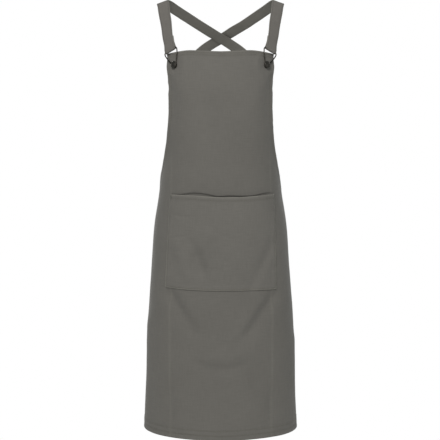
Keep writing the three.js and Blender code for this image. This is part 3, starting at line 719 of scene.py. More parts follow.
def panel_place(column, row):
    """Flat place of a grid point of the panel, where column 0 is the left edge and row 0 the top."""
    level = row_levels()[row]
    end_s, end_z = row_end(level)
    count = np.abs(column - COLUMNS / 2)
    side = np.sign(column - COLUMNS / 2)
    plain = COLUMNS / 2 - COLUMNS_AT_EDGE
    inner = (end_s - EDGE_BAND) * count / plain
    outer = end_s - EDGE_BAND + EDGE_BAND * (count - plain) / COLUMNS_AT_EDGE
    away = np.where(count <= plain, inner, outer)
    above = np.clip((level - POCKET_TOP) / POCKET_DROP, 0, 1)
    beside_pocket = pocket_half(level) + side * pocket_middle(level) + POCKET_MARGIN
    margin = np.minimum((1 - above) * beside_pocket + above * bib_half, end_s)
    spread = np.clip((away - margin) / np.maximum(end_s - margin, 1e-6), 0, 1)
    fade = np.clip(1 - (TOP - level) / ARMHOLE_STRAIGHT, 0, 1)
    z = level + (end_z - level) * spread ** WING_FALL + top_rise(away) * fade * fade + hem_rise(away, level)
    pucker = swells(BIB_EDGE_SWELLS, away, z)
    for down, reach, rise in BIB_EDGE_PUCKERS:
        pucker = pucker + rise * bell(z - TOP + down, reach)
    away = away + np.where(level > ARMHOLE_TOP, pucker * (away / bib_half) ** PUCKER_FALL, 0)
    return side * away, z


print("panel grid:", COLUMNS, "by", ROWS)

# %% [markdown]
# The pocket bags a little, and less at its mouth, where the hem draws it in. The cloth behind it gives
# way too, most in the middle and not at all along the seams. Just above the mouth it comes forward again
# over a short ledge, and the gap under the ledge is the dark line that the eye sees.

# %% The hollow of the pocket
POCKET_GAPE = 8
POCKET_RECESS = 5
POCKET_CLOSING = 1.4
MOUTH_FADE = 2.0
MOUTH_HUG = 0.4
MOUTH_HUG_REACH = 26
CALM_BEHIND = 0.75
# across as a share of half the mouth, how far the edge sags, how far it stands open above that
MOUTH_EDGE = np.array([
    (-1.0, 0.0, 0.8), (-0.8, 0.1, 0.8), (-0.52, 0.4, 5.2), (-0.3, 2.0, 4.2), (-0.1, 3.5, 0.8),
    (0.12, 4.0, 2.6), (0.33, 3.5, 1.3), (0.55, 2.3, 0.6), (0.75, 1.1, 3.6), (0.92, 0.3, 4.2), (1.0, 0.0, 2.8),
])


def mouth_edge(s):
    """How far the mouth's edge sags below its corners, and how far it stands open above that."""
    share = np.clip((s - POCKET_TOP_SHIFT) / (POCKET_TOP_WIDTH / 2), -1, 1)
    found = through(MOUTH_EDGE, share)
    return found[..., 0], found[..., 1]


def pocket_slack(s, z):
    """One where the pocket stands open most and none along its seams and outside it."""
    across = np.clip(1 - ((s - pocket_middle(z)) / pocket_half(z)) ** 2, 0, 1)
    sagging, open_by = mouth_edge(s)
    above = 1 - smooth_share(-1.0, MOUTH_FADE, z - POCKET_TOP + sagging - open_by)
    hug = 1 - MOUTH_HUG * bell(POCKET_TOP - z, MOUTH_HUG_REACH)
    return np.sqrt(across) * (1 - down_pocket(z)) ** POCKET_CLOSING * above * hug


def panel_point(s, z):
    """The middle of the panel's cloth, with its small folds and the hollow behind the pocket."""
    calm = 1 - CALM_BEHIND * smooth_share(0.2, 1.0, pocket_slack(s, z))
    fine = calm * (fold_height(SMALL_FOLDS, s, z) + swells(CLOTH_SWELLS, s, z))
    lift = fine - POCKET_RECESS * pocket_slack(s, z)
    return pressed_flat(cloth_point(s, z) + outward(body_point, s, z) * lift[..., None])


print("behind the pocket:", np.round(panel_point(4.0, POCKET_TOP - 10.0), 1))

# %% [markdown]
# ## Making a sheet
# A sheet starts as Blender's flat grid. Its points are moved to the places worked out for them, and the
# grid keeps three more things: the flat cut as a UV map, how near each point is to a stitched groove,
# which the canvas darkens as painted shade, and how much paler it is painted, as painted highlight, as
# painted light and along the edges. A Solidify modifier gives the cloth its thickness.

# %% Grids and sheets
def grid_mesh(name, points, flat, marks):
    """A mesh of rows and columns of points in millimetres, with its flat cut and its marks."""
    rows, columns = points.shape[0] - 1, points.shape[1] - 1
    shape = bmesh.new()
    bmesh.ops.create_grid(shape, x_segments=columns, y_segments=rows, size=1.0)
    mesh = bpy.data.meshes.new(name)
    shape.to_mesh(mesh)
    shape.free()
    corners = np.empty(len(mesh.vertices) * 3)
    mesh.vertices.foreach_get("co", corners)
    corners = corners.reshape(-1, 3)
    column = np.rint((corners[:, 0] + 1) / 2 * columns).astype(int)
    row = np.rint((1 - corners[:, 1]) / 2 * rows).astype(int)
    mesh.vertices.foreach_set("co", (points[row, column] * MM).ravel())
    at = np.empty(len(mesh.loops), dtype=int)
    mesh.loops.foreach_get("vertex_index", at)
    cut = mesh.uv_layers.new(name="flat")
    cut.data.foreach_set("uv", (flat[row, column] * MM)[at].ravel())
    for mark, values in marks.items():
        layer = mesh.attributes.new(mark, "FLOAT", "POINT")
        layer.data.foreach_set("value", values[row, column])
    mesh.polygons.foreach_set("use_smooth", [True] * len(mesh.polygons))
    return mesh


def add_piece(mesh, material, replaced=None):
    piece = bpy.data.objects.new(mesh.name, mesh)
    bpy.context.collection.objects.link(piece)
    mesh.materials.append(material)
    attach(piece, "root")
    if replaced:
        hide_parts(replaced)
    return piece


def thicken(piece, thickness):
    wall = piece.modifiers.new("cloth thickness", "SOLIDIFY")
    wall.thickness = thickness * MM
    wall.offset = 0.0
    return piece


print("sheets use the UV map 'flat' and the marks 'seam' and 'worn'")

# %% [markdown]
# ## Hems
# Every edge is turned under twice and stitched. From outside, a hem shows as a slightly raised band with
# a groove along each line of stitching, where the thread pulls the layers together. Between the stitches
# the cloth puckers.

# %% Hems in the flat cut
# stitches are the distances of the stitch lines from the edge
HEMS = {
    "bib_hem": {"path": top_path, "width": 11.5, "stitches": (4.4, 9.4), "mirrored": False},
    "armhole_hem": {"path": side_path, "width": 11.0, "stitches": (9.0,), "mirrored": True},
    "back_hem": {"path": back_path, "width": 11.0, "stitches": (9.0,), "mirrored": True},
    "bottom_hem": {"path": hem_path, "width": 25.0, "stitches": (11.0, 22.5), "mirrored": False},
}
HEM_RIDGE = 0.4
GROOVE_DEPTH = 0.24
GROOVE_WIDTH = 1.2


def distance_to(path, s, z):
    tree = KDTree(len(path))
    for index, (a, b) in enumerate(path):
        tree.insert((a, b, 0), index)
    tree.balance()
    found = [tree.find((a, b, 0))[2] for a, b in zip(s.ravel(), z.ravel())]
    return np.array(found).reshape(s.shape)


def hem_form(away, width, stitches, s, z):
    """The height of a hem over the plain cloth, and how deep in a stitched groove each place is, which the
    canvas darkens as painted shade.
    """
    inside = 1 - smooth_share(width - 1.0, width + 1.5, away)
    seam = sum(bell(away - at, GROOVE_WIDTH) for at in stitches)
    return (HEM_RIDGE + swells(HEM_SWELLS, s, z)) * inside - GROOVE_DEPTH * seam, seam


print("hems:", ", ".join(HEMS))

# %% [markdown]
# ## The panel
# The apron was pressed and folded before it was worn. Two creases run down the front beside the pocket,
# each a low ridge with a painted highlight along it.

# %% Panel
CREASE_AT = 117.5
CREASE_SHIFT = 1.5
CREASE_TOP = TOP - 178
CREASE_FADE = 90
CREASE_WIDTH = 2.6
CREASE_RISE = 0.35
# a painted highlight along each crease ridge
CREASE_HIGHLIGHT = 0.22
# how much paler the cloth is along every edge of the panel
EDGE_PALER = 0.5
EDGE_PALER_REACH = 1.5


def crease(s, z):
    """The pressed ridges down the front, fading out below the bib."""
    line = bell(np.abs(s - CREASE_SHIFT) - CREASE_AT, CREASE_WIDTH)
    return line * smooth_share(0, CREASE_FADE, CREASE_TOP - z)


panel_column, panel_row = np.meshgrid(np.arange(COLUMNS + 1), np.arange(ROWS + 1))
panel_s, panel_z = panel_place(panel_column, panel_row)
panel_lift = CREASE_RISE * crease(panel_s, panel_z)
# painted shade darkens the panel along the grooves of its stitching
panel_groove_shade = np.zeros_like(panel_s)
# painted highlight along the crease ridges, and a paler line along the edges
panel_paler_and_lit = CREASE_HIGHLIGHT * crease(panel_s, panel_z)
for hem in HEMS.values():
    looked = np.abs(panel_s) if hem["mirrored"] else panel_s
    away = distance_to(hem["path"], looked, panel_z)
    lift, seam = hem_form(away, hem["width"], hem["stitches"], panel_s, panel_z)
    panel_lift = panel_lift + lift
    panel_groove_shade = np.maximum(panel_groove_shade, np.clip(seam, 0, 1))
    panel_paler_and_lit = np.maximum(panel_paler_and_lit, EDGE_PALER * bell(away, EDGE_PALER_REACH))
panel_normal = outward(panel_point, panel_s, panel_z)
panel_points = panel_point(panel_s, panel_z) + panel_normal * panel_lift[..., None]
panel = add_piece(
    grid_mesh(
        "panel_cloth", panel_points, np.stack([panel_s, panel_z], axis=-1),
        {"seam": panel_groove_shade, "worn": panel_paler_and_lit},
    ),
    panel_canvas, "body_panel",
)
thicken(panel, CLOTH)
print("panel:", len(panel.data.polygons), "faces before its thickness")

# %% [markdown]
# The turned-under part of each hem lies on the inside. It is a narrow strip that starts in the edge of
# the panel, goes round a tight fold and lies flat against the back of the cloth.

# %% Hem strips inside
STRIP = 1.0
FOLD_RADIUS = 0.8
around = np.radians([0, 45, 90, 135, 180])


def inward_of(path, reference):
    """Directions square to a path in the flat cut, pointing to the side where reference lies."""
    run = np.gradient(path, axis=0)
    across = np.stack([-run[:, 1], run[:, 0]], axis=-1) / np.linalg.norm(run, axis=-1, keepdims=True)
    towards = np.sign(np.sum(across * (np.array(reference) - path), axis=-1, keepdims=True))
    return across * towards


def strip_mesh(name, path, inward, width, surface, lift):
    profile = [(0.5 - FOLD_RADIUS * math.sin(turn), FOLD_RADIUS * (1 - math.cos(turn))) for turn in around]
    profile += [(width / 2, 2 * FOLD_RADIUS), (width - 1.0, 2 * FOLD_RADIUS), (width, 1.8 * FOLD_RADIUS)]
    from_edge, depth = np.array(profile).T
    flat = path[None] + inward[None] * from_edge[:, None, None]
    s, z = flat[..., 0], flat[..., 1]
    points = surface(s, z) + outward(surface, s, z) * (lift - depth)[:, None, None]
    seam = np.zeros_like(s)
    return grid_mesh(name, points, flat, {"seam": seam, "worn": seam})


def sided(name, mirrored):
    return [(f"{name}_{side}", sign) for side, sign in SIDES.items()] if mirrored else [(name, 1)]


MIDDLE_OF_PANEL = (0.0, (TOP + HEM) / 2)
for name, hem in HEMS.items():
    inward = inward_of(hem["path"], MIDDLE_OF_PANEL)
    for strip_name, sign in sided(name, hem["mirrored"]):
        mesh = strip_mesh(
            strip_name, hem["path"] * (sign, 1), inward * (sign, 1), hem["width"], panel_point, HEM_RIDGE,
        )
        thicken(add_piece(mesh, panel_canvas), STRIP)

# %% [markdown]
# ## The pocket
# The pocket is a single layer, hemmed at its mouth and turned under along its other three sides, where
# a row of stitching holds it. It bags a little, so its mouth sags between its corners, and its lower
# left corner is drawn up a few millimetres.

# %% Pocket
POCKET_COLUMNS, POCKET_ROWS = 128, 108
POCKET_EDGE, STEPS_AT_POCKET_EDGE = 11, 9
MOUTH_HEM = 10.0
MOUTH_STITCHES = (8.0,)
SEAM_ALLOWANCE = 10.0
POCKET_STITCHES = (2.4,)
POCKET_SWELL = 0.8
# how much paler the pocket's edges are
POCKET_EDGE_PALER = 0.8
POCKET_EDGE_PALER_REACH = 1.6


def packed(count, length, band, share):
    """Places along a length, packed closer within a band at both ends."""
    ends = np.linspace(0, band, share + 1)
    middle = np.linspace(band, length - band, count - 2 * share + 1)[1:-1]
    return np.concatenate([ends, middle, length - ends[::-1]])


def pocket_point(s, z):
    """The middle of the pocket's cloth."""
    slack = pocket_slack(s, np.minimum(z, POCKET_TOP))
    fine = fold_height(SMALL_FOLDS, s, z) * (1 + slack) + POCKET_SWELL * swells(CLOTH_SWELLS, s, z)
    off = CLOTH + CLEARANCE + POCKET_GAPE * slack + fine
    return hung_point(s, z) + outward(hung_point, s, z) * off[..., None]


shares = packed(POCKET_COLUMNS, 1.0, POCKET_EDGE / POCKET_TOP_WIDTH, STEPS_AT_POCKET_EDGE) * 2 - 1
drops_in_pocket = packed(POCKET_ROWS, POCKET_HEIGHT, POCKET_EDGE, STEPS_AT_POCKET_EDGE)
pocket_share, pocket_drop = np.meshgrid(shares, drops_in_pocket)
pocket_z = POCKET_TOP - pocket_drop
pocket_s = pocket_middle(pocket_z) + pocket_share * pocket_half(pocket_z)
from_side = (1 - np.abs(pocket_share)) * pocket_half(pocket_z)
from_bottom = POCKET_HEIGHT - pocket_drop
sag = mouth_edge(POCKET_TOP_SHIFT + pocket_share * POCKET_TOP_WIDTH / 2)[0]
pocket_z = pocket_z - sag * np.clip(1 - pocket_drop / POCKET_HEIGHT, 0, 1)
pocket_z = pocket_z + corner_lift(pocket_s, pocket_z)
print("pocket grid:", pocket_s.shape)

# %% Pocket's hems and seams
mouth_lift, mouth_groove_shade = hem_form(pocket_drop, MOUTH_HEM, MOUTH_STITCHES, pocket_s, pocket_z)
side_lift, side_groove_shade = hem_form(
    np.minimum(from_side, from_bottom), SEAM_ALLOWANCE, POCKET_STITCHES, pocket_s, pocket_z,
)
pocket_lift = np.maximum(mouth_lift, side_lift) + np.minimum(0, np.minimum(mouth_lift, side_lift))
edge = np.minimum(np.minimum(from_side, from_bottom), pocket_drop)
# darker along the stitching grooves as painted shade, and paler along the edges
pocket_marks = {
    "seam": np.clip(mouth_groove_shade + side_groove_shade, 0, 1),
    "worn": POCKET_EDGE_PALER * bell(edge, POCKET_EDGE_PALER_REACH),
}
pocket_points = pocket_point(pocket_s, pocket_z)
pocket_points = pocket_points + outward(pocket_point, pocket_s, pocket_z) * pocket_lift[..., None]
pocket = add_piece(
    grid_mesh("pocket_cloth", pocket_points, np.stack([pocket_s, pocket_z], axis=-1), pocket_marks),
    pocket_canvas, "pocket",
)
thicken(pocket, CLOTH)
print("pocket:", len(pocket.data.polygons), "faces before its thickness")

# %% Hem inside the pocket's mouth
mouth_s = POCKET_TOP_SHIFT + np.linspace(-1, 1, 120) * (POCKET_TOP_WIDTH / 2 - 1.0)
mouth_path = np.stack([mouth_s, POCKET_TOP - mouth_edge(mouth_s)[0]], axis=-1)
mouth_inward = inward_of(mouth_path, (0.0, POCKET_BOTTOM))
mouth_hem = thicken(add_piece(
    strip_mesh("mouth_hem", mouth_path, mouth_inward, MOUTH_HEM, pocket_point, HEM_RIDGE),
    pocket_canvas,
), STRIP)
print("mouth hem:", len(mouth_hem.data.polygons), "faces")

# %% [markdown]
# ## Straps
# A strap is a long strip of the same canvas, folded to 28 mm wide and stitched down both edges. It comes
# from the wing, crosses the other strap behind the neck, goes over the shoulder and down to the buckle,
# turns round the buckle's bar and is sewn to itself. Its route is a row of places, each with the way
# that the strap faces there, and a smooth curve joins them.

# %% Routes of the straps
SHOULDER_SPAN = 261
STRAP_THICKNESS = 2
STRAP_TAIL = 32
STRAP_OVERLAP = 36
STRAP_INSET = 17
STRAP_FOLD_STRAIGHT = 8
STRAP_FOLD_SWEEP = 1.15
STRAP_WRAP = (WIRE + STRAP_THICKNESS) / 2 + CLEARANCE
SEAT_GAP = 0.9
CROSSING = Vector((4, 105, -75))
CROSSING_GAP = 1.6
CROSSING_REACH = 78
CROSSING_RAMP = 0.62

# across, forward, down, then the direction faced
FRONT_ROUTE = [
    (0.87, 0.87, 0.86, -0.66, -0.67, 0.31),
    (0.68, 0.7, 0.68, -0.59, -0.72, 0.35),
    (0.48, 0.48, 0.44, -0.48, -0.8, 0.36),
    (0.24, 0.3, 0.24, -0.4, -0.82, 0.4),
    (0.08, 0.13, 0.07, -0.34, -0.55, 0.76),
]
BACK_ROUTE = [
    (0.0, 0.0, 0.0, -0.28, 0.02, 0.96),
    (0.07, 0.11, 0.05, -0.24, 0.35, 0.9),
    (0.2, 0.28, 0.19, -0.18, 0.5, 0.85),
    (0.5, 0.58, 0.5, -0.12, 0.57, 0.81),
    (0.8, 0.84, 0.81, -0.06, 0.62, 0.78),
    (1.0, 1.0, 1.0, 0.0, 0.66, 0.75),
]
WING_ROUTE = [
    (0.29, -0.26, 0.038, 0.0, 0.7, 0.71),
    (0.6, -0.38, 0.088, 0.03, 0.74, 0.67),
    (0.93, -0.4, 0.165, 0.08, 0.86, 0.5),
    (1.12, -0.25, 0.3, 0.18, 0.95, 0.25),
    (1.12, 0.2, 0.5, 0.26, 0.96, 0.05),
    (1.06, 0.6, 0.74, 0.36, 0.93, 0.02),
]


def leg(rows, start, end, side):
    """Part of a route between two places. The rows are written for the left strap."""
    return [
        (
            Vector([a + (b - a) * share for a, b, share in zip(start, end, row[:3])]),
            Vector((-side * row[3], row[4], row[5])),
        )
        for row in rows
    ]


def strap_route(side):
    bar, middle = clasps[side]["bar"], clasps[side]["middle"]
    shoulder = Vector((side * SHOULDER_SPAN / 2, 0, STRAP_THICKNESS / 2))
    rise = shoulder - middle
    up = Vector((rise.x, rise.y * STRAP_FOLD_SWEEP, rise.z)).normalized()
    up = (up - bar * up.dot(bar)).normalized()
    face = bar.cross(up).normalized()
    fold = middle + face * STRAP_WRAP

    def on_wing(z):
        s = side * (STRAP_INSET - float(row_end(np.array(WING_LEVEL))[0]))
        normal = Vector(outward(cloth_point, s, z, 1.0))
        off = (CLOTH + STRAP_THICKNESS) / 2 + SEAT_GAP
        return Vector(cloth_point(s, z)) + normal * off, normal

    wing = on_wing(WING_TOP)
    return [
        (fold, face),
        (fold + up * STRAP_FOLD_STRAIGHT, face),
        *leg(FRONT_ROUTE, shoulder, fold, side),
        *leg(BACK_ROUTE, shoulder, CROSSING, side),
        *leg(WING_ROUTE, CROSSING, wing[0], side),
        wing,
        on_wing(WING_TOP - STRAP_OVERLAP / 2),
        on_wing(WING_TOP - STRAP_OVERLAP),
    ]


print("knots in a route:", len(strap_route(1)))

# %% A smooth curve through knots
def smooth_path(knots, closed=False):
    """Position at a share of the way along a curve that passes through the knots, turning evenly."""
    count = len(knots)
    if closed:
        padded = [knots[-1], *knots, knots[0], knots[1]]
    else:
        padded = [knots[0] * 2 - knots[1], *knots, knots[-1] * 2 - knots[-2]]
    spans = count if closed else count - 1

    def at(share):
        place = min(max(share, 0.0), 1.0) * spans
        index = min(int(place), spans - 1)
        a, b, c, d = padded[index:index + 4]
        before, here, after = (a - b).length ** 0.5, (b - c).length ** 0.5, (c - d).length ** 0.5
        here = here if here > 1e-4 else 1.0
        before = before if before > 1e-4 else here
        after = after if after > 1e-4 else here
        leaving = ((b - a) / before - (c - a) / (before + here) + (c - b) / here) * here
        arriving = ((c - b) / here - (d - b) / (here + after) + (d - c) / after) * here
        p = place - index
        return (
            b + leaving * p
            + (c * 3 - b * 3 - leaving * 2 - arriving) * p**2
            + (b * 2 - c * 2 + leaving + arriving) * p**3
        )

    return at


print("halfway between two knots:", smooth_path([Vector((0, 0, 0)), Vector((2, 0, 0))])(0.5).x)

# %% Sections of a strap
ROUTE_STEPS = 14
WRAP_STEPS = 16


def strap_sections(side):
    """Centre, across and face of each section: the tail, the turn round the bar and the run."""
    lift = STRAP_THICKNESS + CROSSING_GAP if side > 0 else 0
    knots = strap_route(side)
    centres = smooth_path([knot[0] for knot in knots])
    faces = smooth_path([knot[1] for knot in knots])
    steps = (len(knots) - 1) * ROUTE_STEPS
    bar, middle = clasps[side]["bar"], clasps[side]["middle"]
    run = []
    walked = 0
    for step in range(steps + 1):
        share = step / steps
        centre = centres(share)
        along = (centres(share + 1e-4) - centres(share - 1e-4)).normalized()
        across = bar.copy() if step == 0 else along.cross(faces(share)).normalized()
        face = across.cross(along).normalized()
        near = 1 - (centre - CROSSING).length / CROSSING_REACH
        centre = centre + face * lift * float(smooth_share(0, CROSSING_RAMP, near))
        walked += (centre - run[-1][0]).length if run else 0
        run.append((centre, across, face, walked))
    start = run[0]
    down = start[1].cross(start[2]).normalized()
    turns = []
    for step in range(1, WRAP_STEPS):
        turn = math.pi * (1 - step / WRAP_STEPS)
        face = start[2] * math.cos(turn) + down * math.sin(turn)
        turns.append((middle + face * STRAP_WRAP, start[1], face, -STRAP_WRAP * turn))
    tail = []
    for centre, across, face, walked in reversed(run):
        if walked <= STRAP_TAIL:
            near = min(max(1 - (walked - 2 * WIRE) / (STRAP_TAIL / 2), 0), 1)
            apart = STRAP_THICKNESS + CLEARANCE + (2 * STRAP_WRAP - STRAP_THICKNESS - CLEARANCE) * near**2
            tail.append((centre - face * apart, across, -face, -STRAP_WRAP * math.pi - walked))
    return tail + turns + run


strap_rows = {side: strap_sections(side) for side in SIDES.values()}
print("strap:", round(strap_rows[1][-1][3] - strap_rows[1][0][3]), "mm of cloth")

# %% [markdown]
# The strap's section is a flat band with soft edges. Two shallow grooves near the edges take the
# stitching, and the canvas is darkened along them as painted shade. The grid is as wide as the band is
# round, and its first and last columns are joined. The side that lies on the wearer's clothes is painted
# paler than the outside, as painted light where the straps lie in shade behind the neck, and the rounded
# edges are paler too.

# %% Straps
# across, half thickness
BAND = [
    (-14.0, 0.3), (-13.8, 0.75), (-13.1, 1.02), (-12.2, 0.98), (-11.4, 0.66), (-10.6, 0.96), (-9.2, 1.08),
    (-4.6, 1.12), (0.0, 1.1), (4.6, 1.12),
    (9.2, 1.08), (10.6, 0.96), (11.4, 0.66), (12.2, 0.98), (13.1, 1.02), (13.8, 0.75), (14.0, 0.3),
]
EDGE_STITCH = 11.4
STRAP_GROOVE = 0.8
# how much paler the strap's rounded edges are
STRAP_EDGE_PALER = 0.7
# painted light: how much paler the strap's inner side is, where it lies in shade behind the neck
INNER_PAINTED_LIGHT = 0.85
STRAP_PALER_FROM = 13.5
STRAP_HELD, STRAP_FREE = 8, 40


def join_band(mesh):
    """Joins the first and last columns of a band and closes its ends."""
    shape = bmesh.new()
    shape.from_mesh(mesh)
    bmesh.ops.remove_doubles(shape, verts=shape.verts, dist=1e-6)
    bmesh.ops.holes_fill(shape, edges=[edge for edge in shape.edges if edge.is_boundary], sides=0)
    bmesh.ops.recalc_face_normals(shape, faces=shape.faces)
    shape.to_mesh(mesh)
    shape.free()
    return mesh


def strap_piece(side_name, side):
    ring = [(a, h) for a, h in BAND] + [(a, -h) for a, h in reversed(BAND)] + [BAND[0]]
    across = np.array([a for a, _ in ring])
    height = np.array([h for _, h in ring])
    centre, sideways, face, walked = (np.array(part) for part in zip(*[
        (tuple(row[0]), tuple(row[1]), tuple(row[2]), (row[3],) * 3) for row in strap_rows[side]
    ]))
    walked = walked[:, :1]
    own_swells = [(wide, tall, rise, seed + side) for wide, tall, rise, seed in STRAP_SWELLS]
    slack = swells(own_swells, across[None], walked)
    for from_end in (walked, walked[-1] - walked):
        slack = slack * smooth_share(STRAP_HELD, STRAP_FREE, from_end)
    out = height[None] + slack
    points = centre[:, None] + sideways[:, None] * across[None, :, None] + face[:, None] * out[..., None]
    round_it = walked_along(np.stack([across, height], axis=-1))
    flat = np.stack(np.broadcast_arrays(round_it[None], walked), axis=-1)
    # painted shade along the grooves of the stitching
    seam = np.broadcast_to(bell(np.abs(across) - EDGE_STITCH, STRAP_GROOVE), points.shape[:2])
    # painted light on the inner side, and paler rounded edges
    paled_and_lit = np.maximum(STRAP_EDGE_PALER * (np.abs(across) > STRAP_PALER_FROM), INNER_PAINTED_LIGHT * (height < 0))
    worn = np.broadcast_to(paled_and_lit, points.shape[:2])
    mesh = grid_mesh(f"strap_{side_name}_cloth", points, flat, {"seam": seam, "worn": worn})
    return add_piece(join_band(mesh), strap_canvas, f"strap_{side_name}")


straps = {side: strap_piece(name, side) for name, side in SIDES.items()}
print("straps:", [len(strap.data.polygons) for strap in straps.values()], "faces")

# %% [markdown]
# ## Buckles and buttons
# A buckle is one piece of round wire. Its outline runs from the middle of the bar to the tip of the slot
# that hooks over the button, and the other half mirrors it. A ring of points is extruded along it.

# %% Buckles
# share of half the width, share of the length
BUCKLE_OUTLINE = [
    (0.0, 0.0), (0.45, 0.0), (0.7, 0.0), (0.9, 0.0), (1.0, 0.075), (0.95, 0.2),
    (0.74, 0.43), (0.46, 0.66), (0.33, 0.8), (0.29, 0.9), (0.17, 0.98), (0.0, 1.0),
]
WIRE_STEPS = 140
WIRE_SIDES = 16


def finished(shape, name, material, replaced=None):
    for face in shape.faces:
        face.smooth = True
    mesh = bpy.data.meshes.new(name)
    shape.to_mesh(mesh)
    shape.free()
    return add_piece(mesh, material, replaced)


def buckle_piece(side_name, side):
    held = clasps[side]
    rows = BUCKLE_OUTLINE + [(-a, d) for a, d in reversed(BUCKLE_OUTLINE[1:-1])]
    path = smooth_path([
        held["middle"] + (held["bar"] * (a * BUCKLE_WIDTH / 2) + held["along"] * (d * BUCKLE_LENGTH))
        for a, d in rows
    ], closed=True)
    shape = bmesh.new()
    ring = bmesh.ops.create_circle(shape, segments=WIRE_SIDES, radius=WIRE / 2)["verts"]
    edges = list({edge for vert in ring for edge in vert.link_edges})
    at = Matrix.Identity(4)
    for step in range(WIRE_STEPS + 1):
        share = (step % WIRE_STEPS) / WIRE_STEPS
        before, after = path((share - 1e-3) % 1), path((share + 1e-3) % 1)
        along = (after - before).normalized()
        out = along.cross(held["face"]).normalized()
        turned = Matrix((out, held["face"], along)).transposed().to_4x4()
        turned.translation = path(share)
        if step > 0:
            made = bmesh.ops.extrude_edge_only(shape, edges=edges)["geom"]
            ring = [part for part in made if isinstance(part, bmesh.types.BMVert)]
            edges = [part for part in made if isinstance(part, bmesh.types.BMEdge)]
        bmesh.ops.transform(shape, matrix=turned @ at.inverted(), verts=ring)
        at = turned
    bmesh.ops.remove_doubles(shape, verts=shape.verts, dist=1e-3)
    bmesh.ops.recalc_face_normals(shape, faces=shape.faces)
    bmesh.ops.scale(shape, vec=(MM, MM, MM), verts=shape.verts)
    return finished(shape, f"buckle_{side_name}_wire", wire_metal, f"buckle_{side_name}")


buckles = {side: buckle_piece(name, side) for name, side in SIDES.items()}
print("buckles:", [len(buckle.data.polygons) for buckle in buckles.values()], "faces")

# %% [markdown]
# A tack button is pressed from sheet over a post that goes through the cloth. Its face has a rolled rim
# and a shallow dish round a low dome. The outline is drawn once and spun about the post.

# %% Buttons
CLOTH_FACE = CLOTH / 2 + CLEARANCE
HEAD_BASE = CLOTH_FACE + BUTTON_FOOT_HEIGHT + WIRE + 2 * CLEARANCE
SPIN_STEPS = 56

# share of the button's radius, share of the head's height
HEAD_OUTLINE = [
    (0.78, 0.0), (0.94, 0.06), (1.0, 0.28), (1.0, 0.55), (0.97, 0.78), (0.9, 0.88), (0.84, 0.86),
    (0.79, 0.76), (0.7, 0.72), (0.58, 0.74), (0.46, 0.82), (0.3, 0.95), (0.15, 1.03), (0.0, 1.05),
]


def button_piece(side_name, side):
    post, foot = BUTTON_POST / 2, BUTTON_FOOT / 2
    outline = [
        (0.0, -CLOTH_FACE - BUTTON_FOOT_HEIGHT), (foot * 0.6, -CLOTH_FACE - BUTTON_FOOT_HEIGHT * 0.9),
        (foot, -CLOTH_FACE), (post, -CLOTH_FACE), (post, CLOTH_FACE), (foot, CLOTH_FACE),
        (foot, CLOTH_FACE + BUTTON_FOOT_HEIGHT / 2), (post, CLOTH_FACE + BUTTON_FOOT_HEIGHT),
        (post, HEAD_BASE),
        *[(r * BUTTON_DIAMETER / 2, HEAD_BASE + h * BUTTON_HEAD) for r, h in HEAD_OUTLINE],
    ]
    shape = bmesh.new()
    line = [shape.verts.new((radius, 0, height)) for radius, height in outline]
    edges = [shape.edges.new(pair) for pair in zip(line, line[1:])]
    bmesh.ops.spin(
        shape, geom=line + edges, axis=(0, 0, 1), cent=(0, 0, 0), angle=2 * math.pi, steps=SPIN_STEPS,
        use_merge=True,
    )
    bmesh.ops.remove_doubles(shape, verts=shape.verts, dist=1e-3)
    bmesh.ops.recalc_face_normals(shape, faces=shape.faces)
    turned = clasps[side]["normal"].to_track_quat("Z", "Y").to_matrix().to_4x4()
    turned.translation = clasps[side]["seat"]
    bmesh.ops.transform(shape, matrix=Matrix.Scale(MM, 4) @ turned, verts=shape.verts)
    return finished(shape, f"button_{side_name}_metal", button_metal, f"button_{side_name}")


buttons = {side: button_piece(name, side) for name, side in SIDES.items()}
print("buttons:", [len(button.data.polygons) for button in buttons.values()], "faces")

# %% [markdown]
# ## Stitches
# Each stitch is a short bead of thread, a stretched ball of twenty faces. All the stitches of a piece are
# one mesh, made by repeating that ball at every place along the seams. Lockstitch looks the same on both
# sides of the cloth, so the panel's hems and the long edge seams of the straps get it on both sides.

# %% One stitch, repeated
STITCH_PITCH = 3.2
STITCH_SIZE = (2.5, 0.6, 0.5)


def stitch_mesh(name, places):
    """One mesh of stitches. Places are arrays of centres, of directions along and of outward ones."""
    centre, along, normal = (np.concatenate([group[part] for group in places]) for part in range(3))
    along = along / np.linalg.norm(along, axis=-1, keepdims=True)
    across = np.cross(normal, along)
    across = across / np.linalg.norm(across, axis=-1, keepdims=True)
    shape = bmesh.new()
    bmesh.ops.create_icosphere(shape, subdivisions=1, radius=0.5)
    ball = np.array([vert.co[:] for vert in shape.verts]) * STITCH_SIZE
    faces = np.array([[vert.index for vert in face.verts] for face in shape.faces])
    shape.free()
    points = (
        centre[:, None] + along[:, None] * ball[None, :, 0:1]
        + across[:, None] * ball[None, :, 1:2] + np.cross(along, across)[:, None] * ball[None, :, 2:3]
    )
    repeated = (faces[None] + len(ball) * np.arange(len(centre))[:, None, None]).reshape(-1, 3)
    mesh = bpy.data.meshes.new(name)
    mesh.from_pydata((points.reshape(-1, 3) * MM).tolist(), [], repeated.tolist())
    mesh.polygons.foreach_set("use_smooth", [True] * len(mesh.polygons))
    return mesh


def seam_places(path, surface, height):
    """Stitches along a path in the flat cut, at a height over the middle of the cloth."""
    path = spaced(path, STITCH_PITCH)
    normal = outward(surface, path[:, 0], path[:, 1])
    points = surface(path[:, 0], path[:, 1]) + normal * height
    return points, np.gradient(points, axis=0), normal * np.sign(height)


print("stitch pitch:", STITCH_PITCH, "mm")

